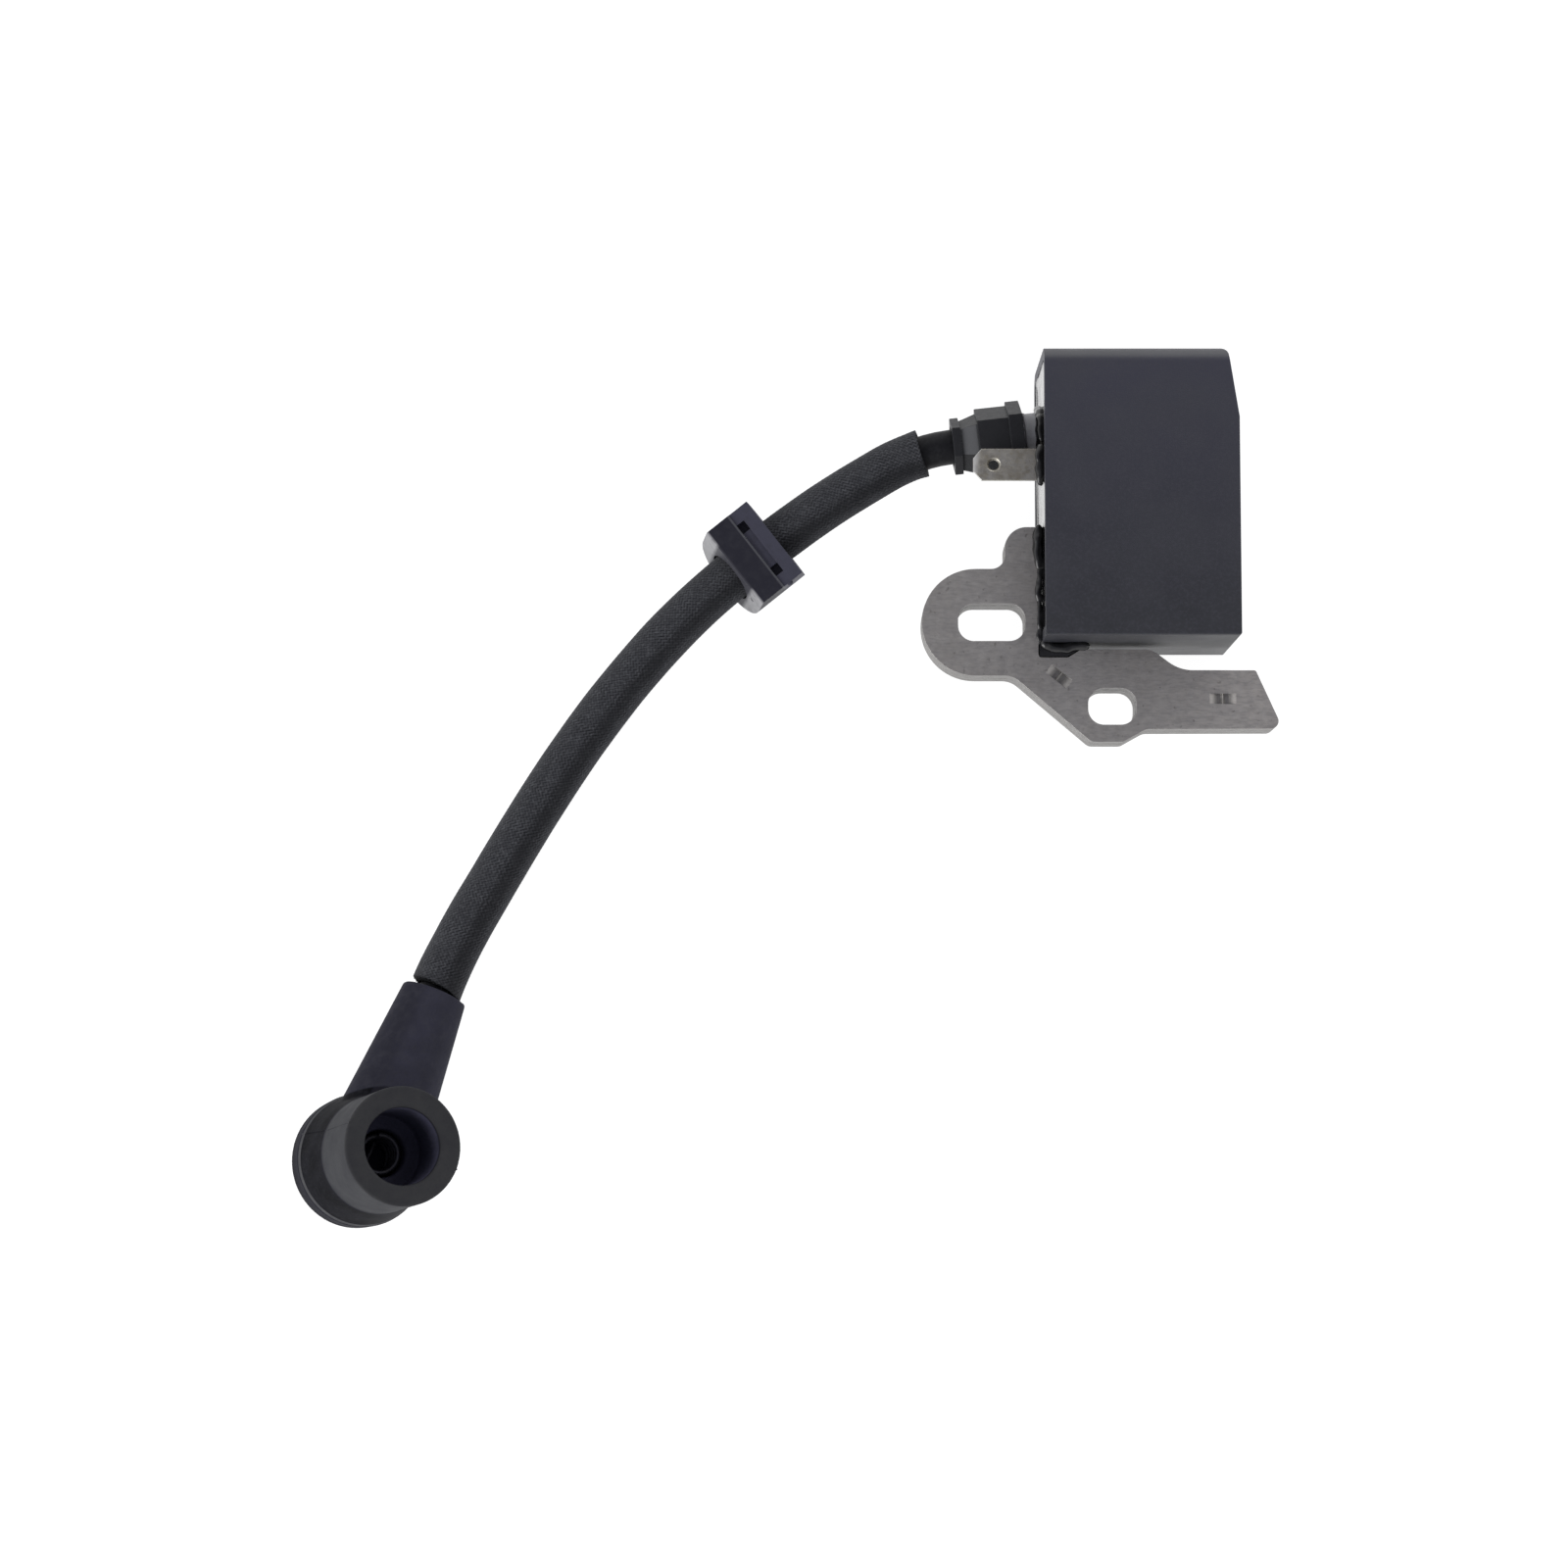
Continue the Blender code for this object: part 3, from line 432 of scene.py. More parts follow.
def settle(item):
    """Apply the object's modifiers."""
    bpy.context.view_layer.update()
    evaluated = item.evaluated_get(bpy.context.evaluated_depsgraph_get())
    mesh = bpy.data.meshes.new_from_object(evaluated)
    mesh.name = item.name
    item.modifiers.clear()
    item.data = mesh


def cut(target, *tools):
    for tool in tools:
        combine(target, tool, "DIFFERENCE")
    return target


def soften(item, width, segments=3, angle=30.0, crease=None):
    """Round the edges, and keep flat faces flat in the light. Folds over the crease angle stay crisp."""
    item.data.shade_smooth()
    if crease is not None:
        item.data.set_sharp_from_angle(angle=math.radians(crease))
    bevel = item.modifiers.new("edges", "BEVEL")
    bevel.width = width * MM
    bevel.segments = segments
    bevel.limit_method = "ANGLE"
    bevel.angle_limit = math.radians(angle)
    normals = item.modifiers.new("normals", "WEIGHTED_NORMAL")
    normals.weight = 80
    normals.keep_sharp = crease is not None
    return item


def wire(name, paths, radius, placement=None, sides=3, taper=None):
    """Round wires along one or more paths, in one piece."""
    curve = bpy.data.curves.new(name, "CURVE")
    curve.dimensions = "3D"
    curve.bevel_depth = radius * MM
    curve.bevel_resolution = sides
    curve.use_fill_caps = True
    for path in paths:
        spline = curve.splines.new("POLY")
        spline.points.add(len(path) - 1)
        for index, (point, place) in enumerate(zip(spline.points, path)):
            point.co = (place[0] * MM, place[1] * MM, place[2] * MM, 1.0)
            point.radius = taper(index / (len(path) - 1)) if taper else 1.0
        spline.use_smooth = True
    item = bpy.data.objects.new(name, curve)
    if placement is not None:
        item.matrix_world = placement
    bpy.context.scene.collection.objects.link(item)
    return item


def dress(item, body, slot, finish, *nodes):
    """Give a piece its finish and its body, and hide the CAD nodes that it stands for."""
    item.data.transform(item.matrix_world)
    item.matrix_world = Matrix.Identity(4)
    item.data.materials.clear()
    item.data.materials.append(finish)
    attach(item, body)
    if nodes:
        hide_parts(*nodes)
    return item


# ---- places

def refinish(finish, *nodes):
    """A new finish on CAD nodes that keep their own shape."""
    for node in nodes:
        for slot in NODES[node].material_slots:
            slot.material = finish


def along(placement, distance):
    """The point, in millimetres, that far along a placement's Z."""
    return placement @ Vector((0, 0, distance * MM)) / MM


# The outlet's Z runs into the housing, from the small end of the cap
OUTLET = frame_at(OUTLET_ORIGIN, (math.cos(OUTLET_SLOPE), math.sin(OUTLET_SLOPE), 0))
# The barrel's Z runs up it from its closed end, and its X leans towards the neck
BARREL = frame_at(BARREL_BACK, BARREL_AXIS, Vector(NECK_MOUTH) - Vector(BARREL_BACK))
NECK_COURSE = Vector(NECK_MOUTH) - along(BARREL, NECK_HEIGHT)
NECK_LENGTH = NECK_COURSE.length
NECK = frame_at(along(BARREL, NECK_HEIGHT), NECK_COURSE, BARREL_AXIS)
# The grommet's Z runs along the lead towards the boot, and its X points up
GROMMET = frame_at(ROUTE[5], Vector(ROUTE[6]) - Vector(ROUTE[4]))


def lead_path(spacing):
    """The lead's middle line, from the contact pin to its end in the boot."""
    start = [along(OUTLET, distance) for distance in (LEAD_START, 8.0, 3.0, 0.0)]
    end_marks = (NECK_LENGTH + 3, NECK_LENGTH - 1, 19.0, 11.0, LEAD_END)
    end = [along(NECK, distance) for distance in end_marks]
    return smooth_path(start + [Vector(point) for point in ROUTE] + end, spacing)


# ---- finishes

class Finish:
    """A node material, built up in layers whose patterns are sized in millimetres on the piece."""

    def __init__(self, name, colour, roughness, **shader_values):
        self.material = bpy.data.materials.new(name)
        self.material.use_nodes = True
        self.tree = self.material.node_tree
        self.shader = self.tree.nodes["Principled BSDF"]
        for socket, value in shader_values.items():
            self.shader.inputs[socket.replace("_", " ")].default_value = value
        coordinates = self.node("ShaderNodeTexCoord").outputs
        self.place, self.outward = coordinates["Object"], coordinates["Normal"]
        self.colour = (*colour, 1.0)
        self.roughness = roughness
        self.normal = None

    def node(self, kind, feeds=None, **settings):
        """A new node with its settings, and values or sockets fed to its inputs."""
        item = self.tree.nodes.new(kind)
        for name, value in settings.items():
            setattr(item, name, value)
        for key, value in (feeds or {}).items():
            if isinstance(value, bpy.types.NodeSocket):
                self.tree.links.new(value, item.inputs[key])
            else:
                item.inputs[key].default_value = value
        return item

    def span(self, value, low, high):
        """The part of a pattern between two levels, stretched to run from 0 to 1."""
        feeds = {"Value": value, "From Min": low, "From Max": high}
        return self.node("ShaderNodeMapRange", feeds, clamp=True).outputs["Result"]

    def vector(self, operation, first, second=(0, 0, 0), output="Vector"):
        feeds = {0: first, 1: second}
        return self.node("ShaderNodeVectorMath", feeds, operation=operation).outputs[output]

    def scalar(self, operation, first, second):
        return self.node("ShaderNodeMath", {0: first, 1: second}, operation=operation).outputs[0]

    def grid(self, grain, stretch=(1, 1, 1)):
        """Places on the piece, in grains of that many millimetres."""
        return self.vector("MULTIPLY", self.place, tuple(amount / (grain * MM) for amount in stretch))

    def clouds(self, grain, low=0.35, high=0.65, stretch=(1, 1, 1), detail=2.0):
        """Soft blotches of about that size."""
        feeds = {"Vector": self.grid(grain, stretch), "Scale": 1.0, "Detail": detail}
        return self.span(self.node("ShaderNodeTexNoise", feeds).outputs[0], low, high)

    def bands(self, pitch, direction, waver=0.0):
        """Even bands across X, Y or Z, one pitch apart."""
        feeds = {"Vector": self.grid(pitch), "Scale": WAVE_SCALE, "Distortion": waver, "Detail": 1.0}
        wave = self.node("ShaderNodeTexWave", feeds, wave_type="BANDS", bands_direction=direction)
        return wave.outputs["Fac"]

    def edges(self, radius, low=0.03, high=0.25):
        """1 along outer and inner edges, 0 on flat faces."""
        rounded_normal = self.node("ShaderNodeBevel", {"Radius": radius * MM}, samples=6).outputs["Normal"]
        true_normal = self.node("ShaderNodeNewGeometry").outputs["Normal"]
        cosine = self.vector("DOT_PRODUCT", rounded_normal, true_normal, "Value")
        return self.span(self.scalar("SUBTRACT", 1.0, cosine), low, high)

    def away(self, origin):
        """Places on the piece, measured from an origin in millimetres."""
        return self.vector("SUBTRACT", self.place, tuple(value * MM for value in origin))

    def slope(self, direction, low, high, origin=(0, 0, 0)):
        """0 at one distance from an origin along a direction, 1 at another, in millimetres."""
        distance = self.vector("DOT_PRODUCT", self.away(origin), tuple(direction), "Value")
        return self.span(distance, low * MM, high * MM)

    def away_from(self, origin, axis, low, high):
        """0 at one distance from a line, 1 at another, in millimetres."""
        across = self.vector("CROSS_PRODUCT", self.away(origin), tuple(axis))
        return self.span(self.vector("LENGTH", across, output="Value"), low * MM, high * MM)

    def facing(self, direction, low, high):
        """Faces of the piece that look along a direction: their cosine, stretched to run from 0 to 1."""
        cosine = self.vector("DOT_PRODUCT", self.outward, tuple(direction), "Value")
        return self.span(cosine, low, high)

    def times(self, pattern, *others):
        """Where all of the patterns are strong."""
        for other in others:
            pattern = self.scalar("MULTIPLY", pattern, other)
        return pattern

    def tint(self, pattern, colour, amount=1.0):
        """Move the colour towards another where the pattern is strong."""
        feeds = {0: self.times(pattern, amount), 6: self.colour, 7: (*colour, 1.0)}
        self.colour = self.node("ShaderNodeMix", feeds, data_type="RGBA").outputs[2]
        return self

    def gloss(self, pattern, roughness):
        """Move the roughness towards another where the pattern is strong."""
        self.roughness = self.node("ShaderNodeMix", {0: pattern, 2: self.roughness, 3: roughness}).outputs[0]
        return self

    def relief(self, pattern, depth):
        """Raise the surface by a depth in millimetres where the pattern is strong."""
        feeds = {"Height": pattern, "Distance": depth * MM, "Strength": 1.0}
        if self.normal is not None:
            feeds["Normal"] = self.normal
        self.normal = self.node("ShaderNodeBump", feeds).outputs["Normal"]
        return self

    def done(self):
        layers = (("Base Color", self.colour), ("Roughness", self.roughness), ("Normal", self.normal))
        for socket, value in layers:
            if isinstance(value, bpy.types.NodeSocket):
                self.tree.links.new(value, self.shader.inputs[socket])
            elif value is not None:
                self.shader.inputs[socket].default_value = value
        return self.material


def housing_finish():
    """Glass-filled black nylon: a fine spark texture and faint flow marks, with painted shade towards the
    bottom, a painted highlight on the rounded top edge, a painted reflection on the bottom face and painted
    highlights along the edges.
    """
    finish = Finish("black_housing_plastic", (0.0265, 0.0270, 0.0430), 0.5)
    # Painted shade: the plastic is painted darker towards the bottom (-Y).
    finish.tint(finish.slope(Y_AXIS, 26.0, -12.0), (0.0135, 0.0145, 0.0195), 0.95)
    finish.tint(finish.clouds(9.0, 0.35, 0.7), (0.028, 0.029, 0.038), 0.5)
    finish.tint(finish.clouds(0.45, 0.45, 0.7), (0.032, 0.032, 0.044), 0.5)
    # Painted highlight: the rounded top edge, where it faces up and towards +Y, is painted lighter.
    rim = finish.times(finish.facing(Y_AXIS, 0.2, 0.5), finish.facing(Z_AXIS, 0.3, 0.6))
    finish.tint(rim, (0.070, 0.071, 0.078), 0.9)
    # Painted reflection of the table: the bottom face is painted lighter, most at its right end.
    bottom_face_painted_reflection = finish.times(finish.facing(-Y_AXIS, 0.6, 0.9), finish.slope(X_AXIS, -6.0, 20.0))
    finish.tint(bottom_face_painted_reflection, (0.085, 0.087, 0.090), 0.7)
    # Painted highlights: the edges are painted lighter.
    finish.tint(finish.edges(0.3, 0.05, 0.4), (0.060, 0.061, 0.066), 0.5)
    finish.gloss(finish.clouds(6.0), 0.58)
    finish.relief(finish.clouds(0.22, 0.2, 0.8, detail=3.0), 0.012)
    return finish.done()


def resin_finish():
    """Poured black epoxy: glossy, with slow ripples and a few specks of dust."""
    finish = Finish("potting_resin", (0.008, 0.008, 0.009), 0.13, Coat_Weight=0.25, Coat_Roughness=0.06)
    finish.tint(finish.clouds(0.35, 0.68, 0.8), (0.05, 0.05, 0.05), 0.5)
    finish.gloss(finish.clouds(3.0), 0.2)
    finish.relief(finish.clouds(5.0, 0.2, 0.8), 0.05)
    finish.relief(finish.clouds(0.8, 0.3, 0.8), 0.01)
    return finish.done()


def steel_finish():
    """Bare silicon steel: a grey oxide bloom, fine rolled grain along X and dull sheared edges, with painted
    light towards the toe, painted shade on sunken faces and painted highlights along the edges.
    """
    finish = Finish("core_steel", (0.395, 0.381, 0.366), 0.40, Metallic=0.9)
    finish.tint(finish.clouds(14.0, 0.35, 0.7), (0.345, 0.325, 0.303), 0.7)
    # Painted light: the sheets are painted lighter and warmer towards the toe.
    finish.tint(finish.slope(X_AXIS, 6.0, 26.0), (0.49, 0.462, 0.435), 0.8)
    finish.tint(finish.clouds(1.1, 0.4, 0.7), (0.44, 0.425, 0.41), 0.55)
    finish.tint(finish.clouds(0.3, 0.45, 0.65, stretch=(0.25, 1, 1)), (0.29, 0.282, 0.272), 0.5)
    finish.tint(finish.clouds(0.9, 0.66, 0.74), (0.13, 0.12, 0.11), 0.5)
    # Painted shade on the upward faces sunk below the front sheet, such as the interlock floors.
    sunk = finish.slope(Z_AXIS, CORE_FRONT - 0.2, CORE_FRONT - 0.4)
    finish.tint(finish.times(sunk, finish.facing(Z_AXIS, 0.5, 0.7)), (0.16, 0.155, 0.15), 0.75)
    finish.tint(finish.facing(Z_AXIS, 0.5, 0.1), (0.155, 0.150, 0.146), 0.85)
    # Painted highlights: the edges are painted lighter.
    finish.tint(finish.edges(0.12, 0.05, 0.5), (0.60, 0.60, 0.59), 0.5)
    finish.gloss(finish.clouds(1.4, 0.3, 0.7), 0.5)
    finish.relief(finish.clouds(0.25, 0.3, 0.7, stretch=(0.3, 1, 1)), 0.008)
    finish.relief(finish.clouds(0.9, 0.3, 0.7), 0.012)
    return finish.done()


def terminal_finish():
    """Tinned brass gone dull, with handling stains and fine scratches along it."""
    finish = Finish("spade_metal", (0.37, 0.35, 0.305), 0.36, Metallic=1.0)
    finish.tint(finish.clouds(2.6, 0.35, 0.65), (0.43, 0.42, 0.39), 0.8)
    finish.tint(finish.clouds(1.2, 0.5, 0.7), (0.27, 0.245, 0.19), 0.7)
    finish.tint(finish.clouds(0.35, 0.55, 0.7), (0.23, 0.205, 0.15), 0.5)
    # Painted highlight on the tip's bevel, where it faces -X.
    tip = finish.slope(X_AXIS, SPADE_TIP + 1.5, SPADE_TIP + 1.3)
    finish.tint(finish.times(finish.facing(-X_AXIS, 0.15, 0.3), tip), (0.62, 0.61, 0.595), 0.9)
    # Painted highlights: the edges are painted lighter.
    finish.tint(finish.edges(0.12, 0.05, 0.5), (0.80, 0.79, 0.76), 0.8)
    finish.gloss(finish.clouds(0.7), 0.48)
    finish.relief(finish.clouds(0.12, 0.3, 0.7, stretch=(0.12, 1, 1)), 0.006)
    finish.relief(finish.clouds(1.0), 0.012)
    return finish.done()


def tower_finish():
    """Grey glass-filled polyester, matt, with pale flecks."""
    finish = Finish("grey_tower_plastic", (0.34, 0.342, 0.36), 0.5)
    finish.tint(finish.clouds(1.2, 0.4, 0.7), (0.32, 0.322, 0.335), 0.7)
    finish.tint(finish.clouds(0.25, 0.6, 0.75), (0.25, 0.25, 0.255), 0.4)
    finish.relief(finish.clouds(0.25), 0.01)
    return finish.done()


def cap_finish():
    """Black nylon, moulded smooth, with a slight sheen, a painted highlight on the upward face of the taper
    and painted highlights along the edges.
    """
    finish = Finish("black_cap_plastic", (0.0145, 0.015, 0.0175), 0.4, IOR=1.3)
    finish.tint(finish.clouds(1.6), (0.018, 0.0185, 0.021), 0.6)
    axis = OUTLET.col[2].xyz
    # Painted light: the upward face of the taper is painted lighter.
    taper_top_painted_light = finish.times(
        finish.slope(axis, CAP_TAPER_START, CAP_TAPER_START + 0.3, OUTLET_ORIGIN),
        finish.slope(axis, CAP_TAPER_END, CAP_TAPER_END - 0.3, OUTLET_ORIGIN),
        finish.facing(Z_AXIS, 0.75, 0.9),
    )
    finish.tint(taper_top_painted_light, (0.12, 0.122, 0.128), 0.8)
    # Painted highlights: the edges are painted lighter.
    finish.tint(finish.edges(0.2, 0.03, 0.25), (0.11, 0.113, 0.12), 0.8)
    finish.gloss(finish.clouds(0.8), 0.45)
    finish.relief(finish.clouds(0.5), 0.01)
    return finish.done()


def lead_finish():
    """Smooth black insulation with dust."""
    finish = Finish("lead_insulation", (0.007, 0.0072, 0.009), 0.5, IOR=1.25)
    finish.tint(finish.clouds(0.8, 0.45, 0.7), (0.016, 0.0165, 0.019), 0.6)
    finish.gloss(finish.clouds(1.5), 0.52)
    finish.relief(finish.clouds(0.3), 0.008)
    return finish.done()


def textile_finish():
    """Waxed cotton and glass yarn: dark, paler on the crowns of the weave with painted shade in its dips,
    painted shade down one flank, and fine fibres.
    """
    finish = Finish("sleeve_textile", (0.0045, 0.005, 0.0062), 0.75, IOR=1.2, Sheen_Weight=0.06,
                    Sheen_Roughness=0.5)
    crowns = finish.node("ShaderNodeAttribute", attribute_name="crown").outputs["Fac"]
    # Painted shade: the colour follows the weave's height, so the dips between yarns stay dark and the
    # crowns are paler.
    finish.tint(finish.span(crowns, 0.35, 1.0), (0.066, 0.068, 0.076), 0.9)
    finish.tint(finish.clouds(2.2, 0.35, 0.7), (0.013, 0.013, 0.016), 0.3)
    finish.tint(finish.times(crowns, finish.clouds(0.45, 0.5, 0.65)), (0.090, 0.092, 0.100), 0.55)
    # Painted shade in a band down the sleeve's +X -Y flank.
    shaded_flank_paint = finish.facing(SLEEVE_SHADED_SIDE, 0.1, 0.35), finish.facing(SLEEVE_SHADED_SIDE, 0.85, 0.65)
    finish.tint(finish.times(*shaded_flank_paint), (0.006, 0.0063, 0.0075), 0.6)
    finish.relief(finish.clouds(0.12, 0.3, 0.7), 0.02)
    return finish.done()


def grommet_finish():
    """Moulded rubber, smoother on its lower half, with a painted lit face towards the boot, painted
    highlights at its outer ends and a painted highlight along the band's edge.
    """
    finish = Finish("grommet_rubber", (0.0135, 0.0135, 0.0215), 0.5, IOR=1.3)
    origin = GROMMET.translation / MM
    course, rise = GROMMET.col[2].xyz, GROMMET.col[0].xyz
    band_edge = GROMMET_BAND[1]
    finish.tint(finish.slope(course, band_edge + 0.15, band_edge - 0.05, origin), (0.048, 0.048, 0.070), 0.9)
    # Painted highlight: a thin lit line along the band's edge, on the boot side.
    line = finish.times(finish.slope(course, band_edge - 0.1, band_edge, origin),
                        finish.slope(course, band_edge + 0.35, band_edge + 0.2, origin))
    finish.tint(line, (0.075, 0.076, 0.085), 0.8)
    leaning = course + rise * math.tan(GROMMET_LEAN)
    face = GROMMET_END + GROMMET_TOP * math.tan(GROMMET_LEAN)
    # Painted light: the end face towards the boot is painted lighter, and its outer ends much lighter.
    lit_end_face_paint = finish.slope(leaning, face - 0.35, face - 0.1, origin)
    across = course.cross(rise)
    sides = finish.slope(across, 3.9, 4.6, origin), finish.slope(across, -3.9, -4.6, origin)
    outer = finish.scalar("ADD", *sides)
    finish.tint(lit_end_face_paint, (0.045, 0.045, 0.055), 0.9)
    finish.tint(finish.times(lit_end_face_paint, outer), (0.30, 0.30, 0.31), 0.9)
    finish.tint(finish.clouds(1.2, 0.45, 0.7), (0.03, 0.03, 0.038), 0.3)
    finish.gloss(finish.clouds(2.5), 0.6)
    finish.relief(finish.clouds(0.35, 0.2, 0.8), 0.012)
    return finish.done()


def spring_finish():
    """Blackened spring wire."""
    finish = Finish("spring_wire", (0.07, 0.07, 0.085), 0.5, Metallic=0.6)
    finish.tint(finish.clouds(0.6, 0.5, 0.7), (0.06, 0.058, 0.055), 0.6)
    finish.gloss(finish.clouds(0.5), 0.42)
    return finish.done()


def copper_finish(name, pitch):
    """Enamelled copper wire, its turns lying side by side along X."""
    finish = Finish(name, (0.50, 0.19, 0.075), 0.28, Metallic=1.0, Coat_Weight=0.6, Coat_Roughness=0.1)
    turns = finish.bands(pitch, "X")
    finish.tint(turns, (0.66, 0.29, 0.12), 0.8)
    finish.tint(finish.clouds(1.8, 0.45, 0.7), (0.36, 0.12, 0.045), 0.5)
    finish.relief(turns, pitch * 0.4)
    return finish.done()


def moulding_finish(name, colour, fleck, roughness, grain=0.3):
    """A plain moulded or dipped part with flecks and a fine surface."""
    finish = Finish(name, colour, roughness)
    finish.tint(finish.clouds(grain * 8, 0.4, 0.7), fleck, 0.4)
    finish.tint(finish.clouds(grain, 0.5, 0.7), fleck, 0.5)
    finish.gloss(finish.clouds(grain * 5), roughness + 0.1)
    finish.relief(finish.clouds(grain), 0.01)
    return finish.done()


def laminate_finish():
    """Green solder mask over a glass weave."""
    finish = Finish("board_laminate", (0.018, 0.10, 0.045), 0.32)
    weave = finish.times(finish.bands(0.7, "X", 0.4), finish.bands(0.7, "Y", 0.4))
    finish.tint(weave, (0.03, 0.15, 0.065), 0.6)
    finish.tint(finish.clouds(4.0), (0.02, 0.075, 0.04), 0.5)
    finish.relief(weave, 0.01)
    return finish.done()


def metal_finish(name, colour, stain, roughness):
    """A plain drawn or plated metal with stains and drawing lines."""
    finish = Finish(name, colour, roughness, Metallic=1.0)
    finish.tint(finish.clouds(0.9, 0.45, 0.7), stain, 0.6)
    finish.gloss(finish.clouds(0.6), roughness + 0.12)
    finish.relief(finish.clouds(0.15, stretch=(0.2, 1, 1)), 0.004)
    return finish.done()


# ---- housing and resin

def housing_outline(inset, left):
    """The housing's XY outline, moved inwards by an inset."""
    right = HOUSING_RIGHT - inset
    bottom = HOUSING_BOTTOM + inset
    top = HOUSING_TOP - inset
    return rounded([
        (left, bottom, 0),
        (right, bottom, SMALL_EDGE_RADIUS),
        (right, SHOULDER_Y, 0),
        (right - SHOULDER_INSET, top, max(CORNER_RADIUS - inset, SMALL_EDGE_RADIUS)),
        (left, top, 0),
    ])


def housing_section(inset):
    """The housing's YZ section, moved inwards by an inset."""
    bottom = HOUSING_BOTTOM + inset
    top = HOUSING_TOP - inset
    radius = TOP_EDGE_RADIUS - inset / 2
    return rounded([
        (bottom, inset, SMALL_EDGE_RADIUS),
        (top, inset, radius),
        (top, HOUSING_DEPTH - inset, radius),
        (bottom, HOUSING_DEPTH - inset, SMALL_EDGE_RADIUS),
    ])


def housing_body(name, inset, left):
    """The housing's outer shape, or the space inside it, as one solid."""
    body = prism(name, housing_outline(inset, left), inset, HOUSING_DEPTH - inset)
    section = prism("section", housing_section(inset), left - 1, HOUSING_RIGHT + 1, along_axis=0)
    return combine(body, section, "INTERSECT")


def make_housing():
    housing = housing_body("housing_cup", 0.0, HOUSING_LEFT)
    cavity = housing_body("cavity", WALL, HOUSING_LEFT - 2)
    low = (HOUSING_RIGHT - WALL - 1, LEG_Y - LEG_HALF_WIDTH - GAP, CORE_BACK - GAP)
    high = (HOUSING_RIGHT + 1, LEG_Y + LEG_HALF_WIDTH + GAP, CORE_FRONT + GAP)
    cut(housing, cavity, block("window", low, high))
    for x, y in EJECTOR_MARKS:
        place = Matrix.Translation(Vector((x, y, 0)) * MM)
        cut(housing, cylinder("mark", EJECTOR_RADIUS, -1.0, EJECTOR_DEPTH, place, 40))
    soften(housing, 0.25)
    dress(housing, "module", "housing_plastic", housing_finish(), "housing")


def distance_outside(y, z, low, high):
    """How far a point is outside a rectangle, 0 inside it."""
    aside = max(low[0] - y, 0.0, y - high[0])
    above = max(low[1] - z, 0.0, z - high[1])
    return math.hypot(aside, above)


def meniscus(y, z):
    """How far the resin has crept out, up the walls and the pieces that come out of it."""
    tower = along(OUTLET, 13.5)
    distances = (
        y - (HOUSING_BOTTOM + WALL),
        HOUSING_TOP - WALL - y,
        z - WALL,
        HOUSING_DEPTH - WALL - z,
        math.hypot(y - tower.y, z - tower.z) - 3.75,
        distance_outside(
            y, z, (SPADE_Y - SPADE_WIDTH / 2, SPADE_BACK), (SPADE_Y + SPADE_WIDTH / 2, SPADE_FRONT)
        ),
        distance_outside(y, z, (-14.0, CORE_BACK), (LEG_Y + LEG_HALF_WIDTH, CORE_FRONT)),
    )
    creep = sum(RESIN_CREEP * math.exp(-max(distance, 0.0) / RESIN_CREEP_REACH) for distance in distances)
    ripple = RESIN_RIPPLE * noise.noise(Vector((y * 0.16, z * 0.2, 3.0)))
    return min(creep, RESIN_CREEP * 1.15) + ripple


def make_resin_face():
    """The poured face: a thin slab whose front is drawn up at the walls and outlets."""
    inset = WALL + 0.02
    low_y, high_y = HOUSING_BOTTOM + inset, HOUSING_TOP - inset
    low_z, high_z = inset, HOUSING_DEPTH - inset
    rows = round((high_y - low_y) / RESIN_GRID_STEP)
    columns = round((high_z - low_z) / RESIN_GRID_STEP)
    build = bmesh.new()
    front = []
    for row in range(rows + 1):
        y = low_y + (high_y - low_y) * row / rows
        heights = [low_z + (high_z - low_z) * column / columns for column in range(columns + 1)]
        front.append([build.verts.new((RESIN_FACE - 0.05 - meniscus(y, z), y, z)) for z in heights])
    for lower, upper in zip(front, front[1:]):
        for column in range(columns):
            build.faces.new((lower[column], upper[column], upper[column + 1], lower[column + 1]))
    pushed = bmesh.ops.extrude_face_region(build, geom=build.faces[:])
    for item in pushed["geom"]:
        if isinstance(item, bmesh.types.BMVert):
            item.co.x = RESIN_FACE + 0.1
    return new_object("resin_face", build)


def bead(name, path, radius, unevenness, flatness=1.0):
    """An uneven bead of cured resin along a path, with round ends."""
    build = bmesh.new()
    rings = []
    last = len(path) - 1
    for index, (place, _, normal, side) in enumerate(rings_along(path)):
        from_middle = 2 * index / last - 1
        swell = math.sqrt(max(1 - abs(from_middle) ** 6, 0.004))
        ring = []
        for corner in range(BEAD_SIDES):
            angle = 2 * math.pi * corner / BEAD_SIDES
            spoke = spoke_at(side, normal * flatness, angle)
            lump = 1 + unevenness * noise.noise(place * 0.8 + spoke * 0.7)
            ring.append(build.verts.new(place + spoke * radius * swell * lump))
        rings.append(ring)
    bridge(build, rings)
    build.faces.new(rings[0])
    build.faces.new(rings[-1])
    return new_object(name, build)


def tower_collar():
    """Points round the outlet tower, where it comes out of the resin."""
    middle = along(OUTLET, TOWER_EMERGES)
    turns = arc((0, 0), COLLAR_RADIUS, -100, 259, 60)
    return [Vector((middle.x, middle.y + y, middle.z + z)) for y, z in turns]


def make_resin():
    finish = resin_finish()
    refinish(finish, "potting_resin")
    items = [
        make_resin_face(),
        bead("resin_collar", tower_collar(), 0.7, 0.5),
        soften(prism("resin_pool", rounded(RESIN_POOL), CORE_BACK + 0.1, CORE_FRONT - 0.3), 0.3),
    ]
    for name, points, *shape in RESIN_BEADS:
        items.append(bead(name, smooth_path(points, 0.25), *shape))
    for item in items:
        dress(item, "module", "potting_resin", finish)


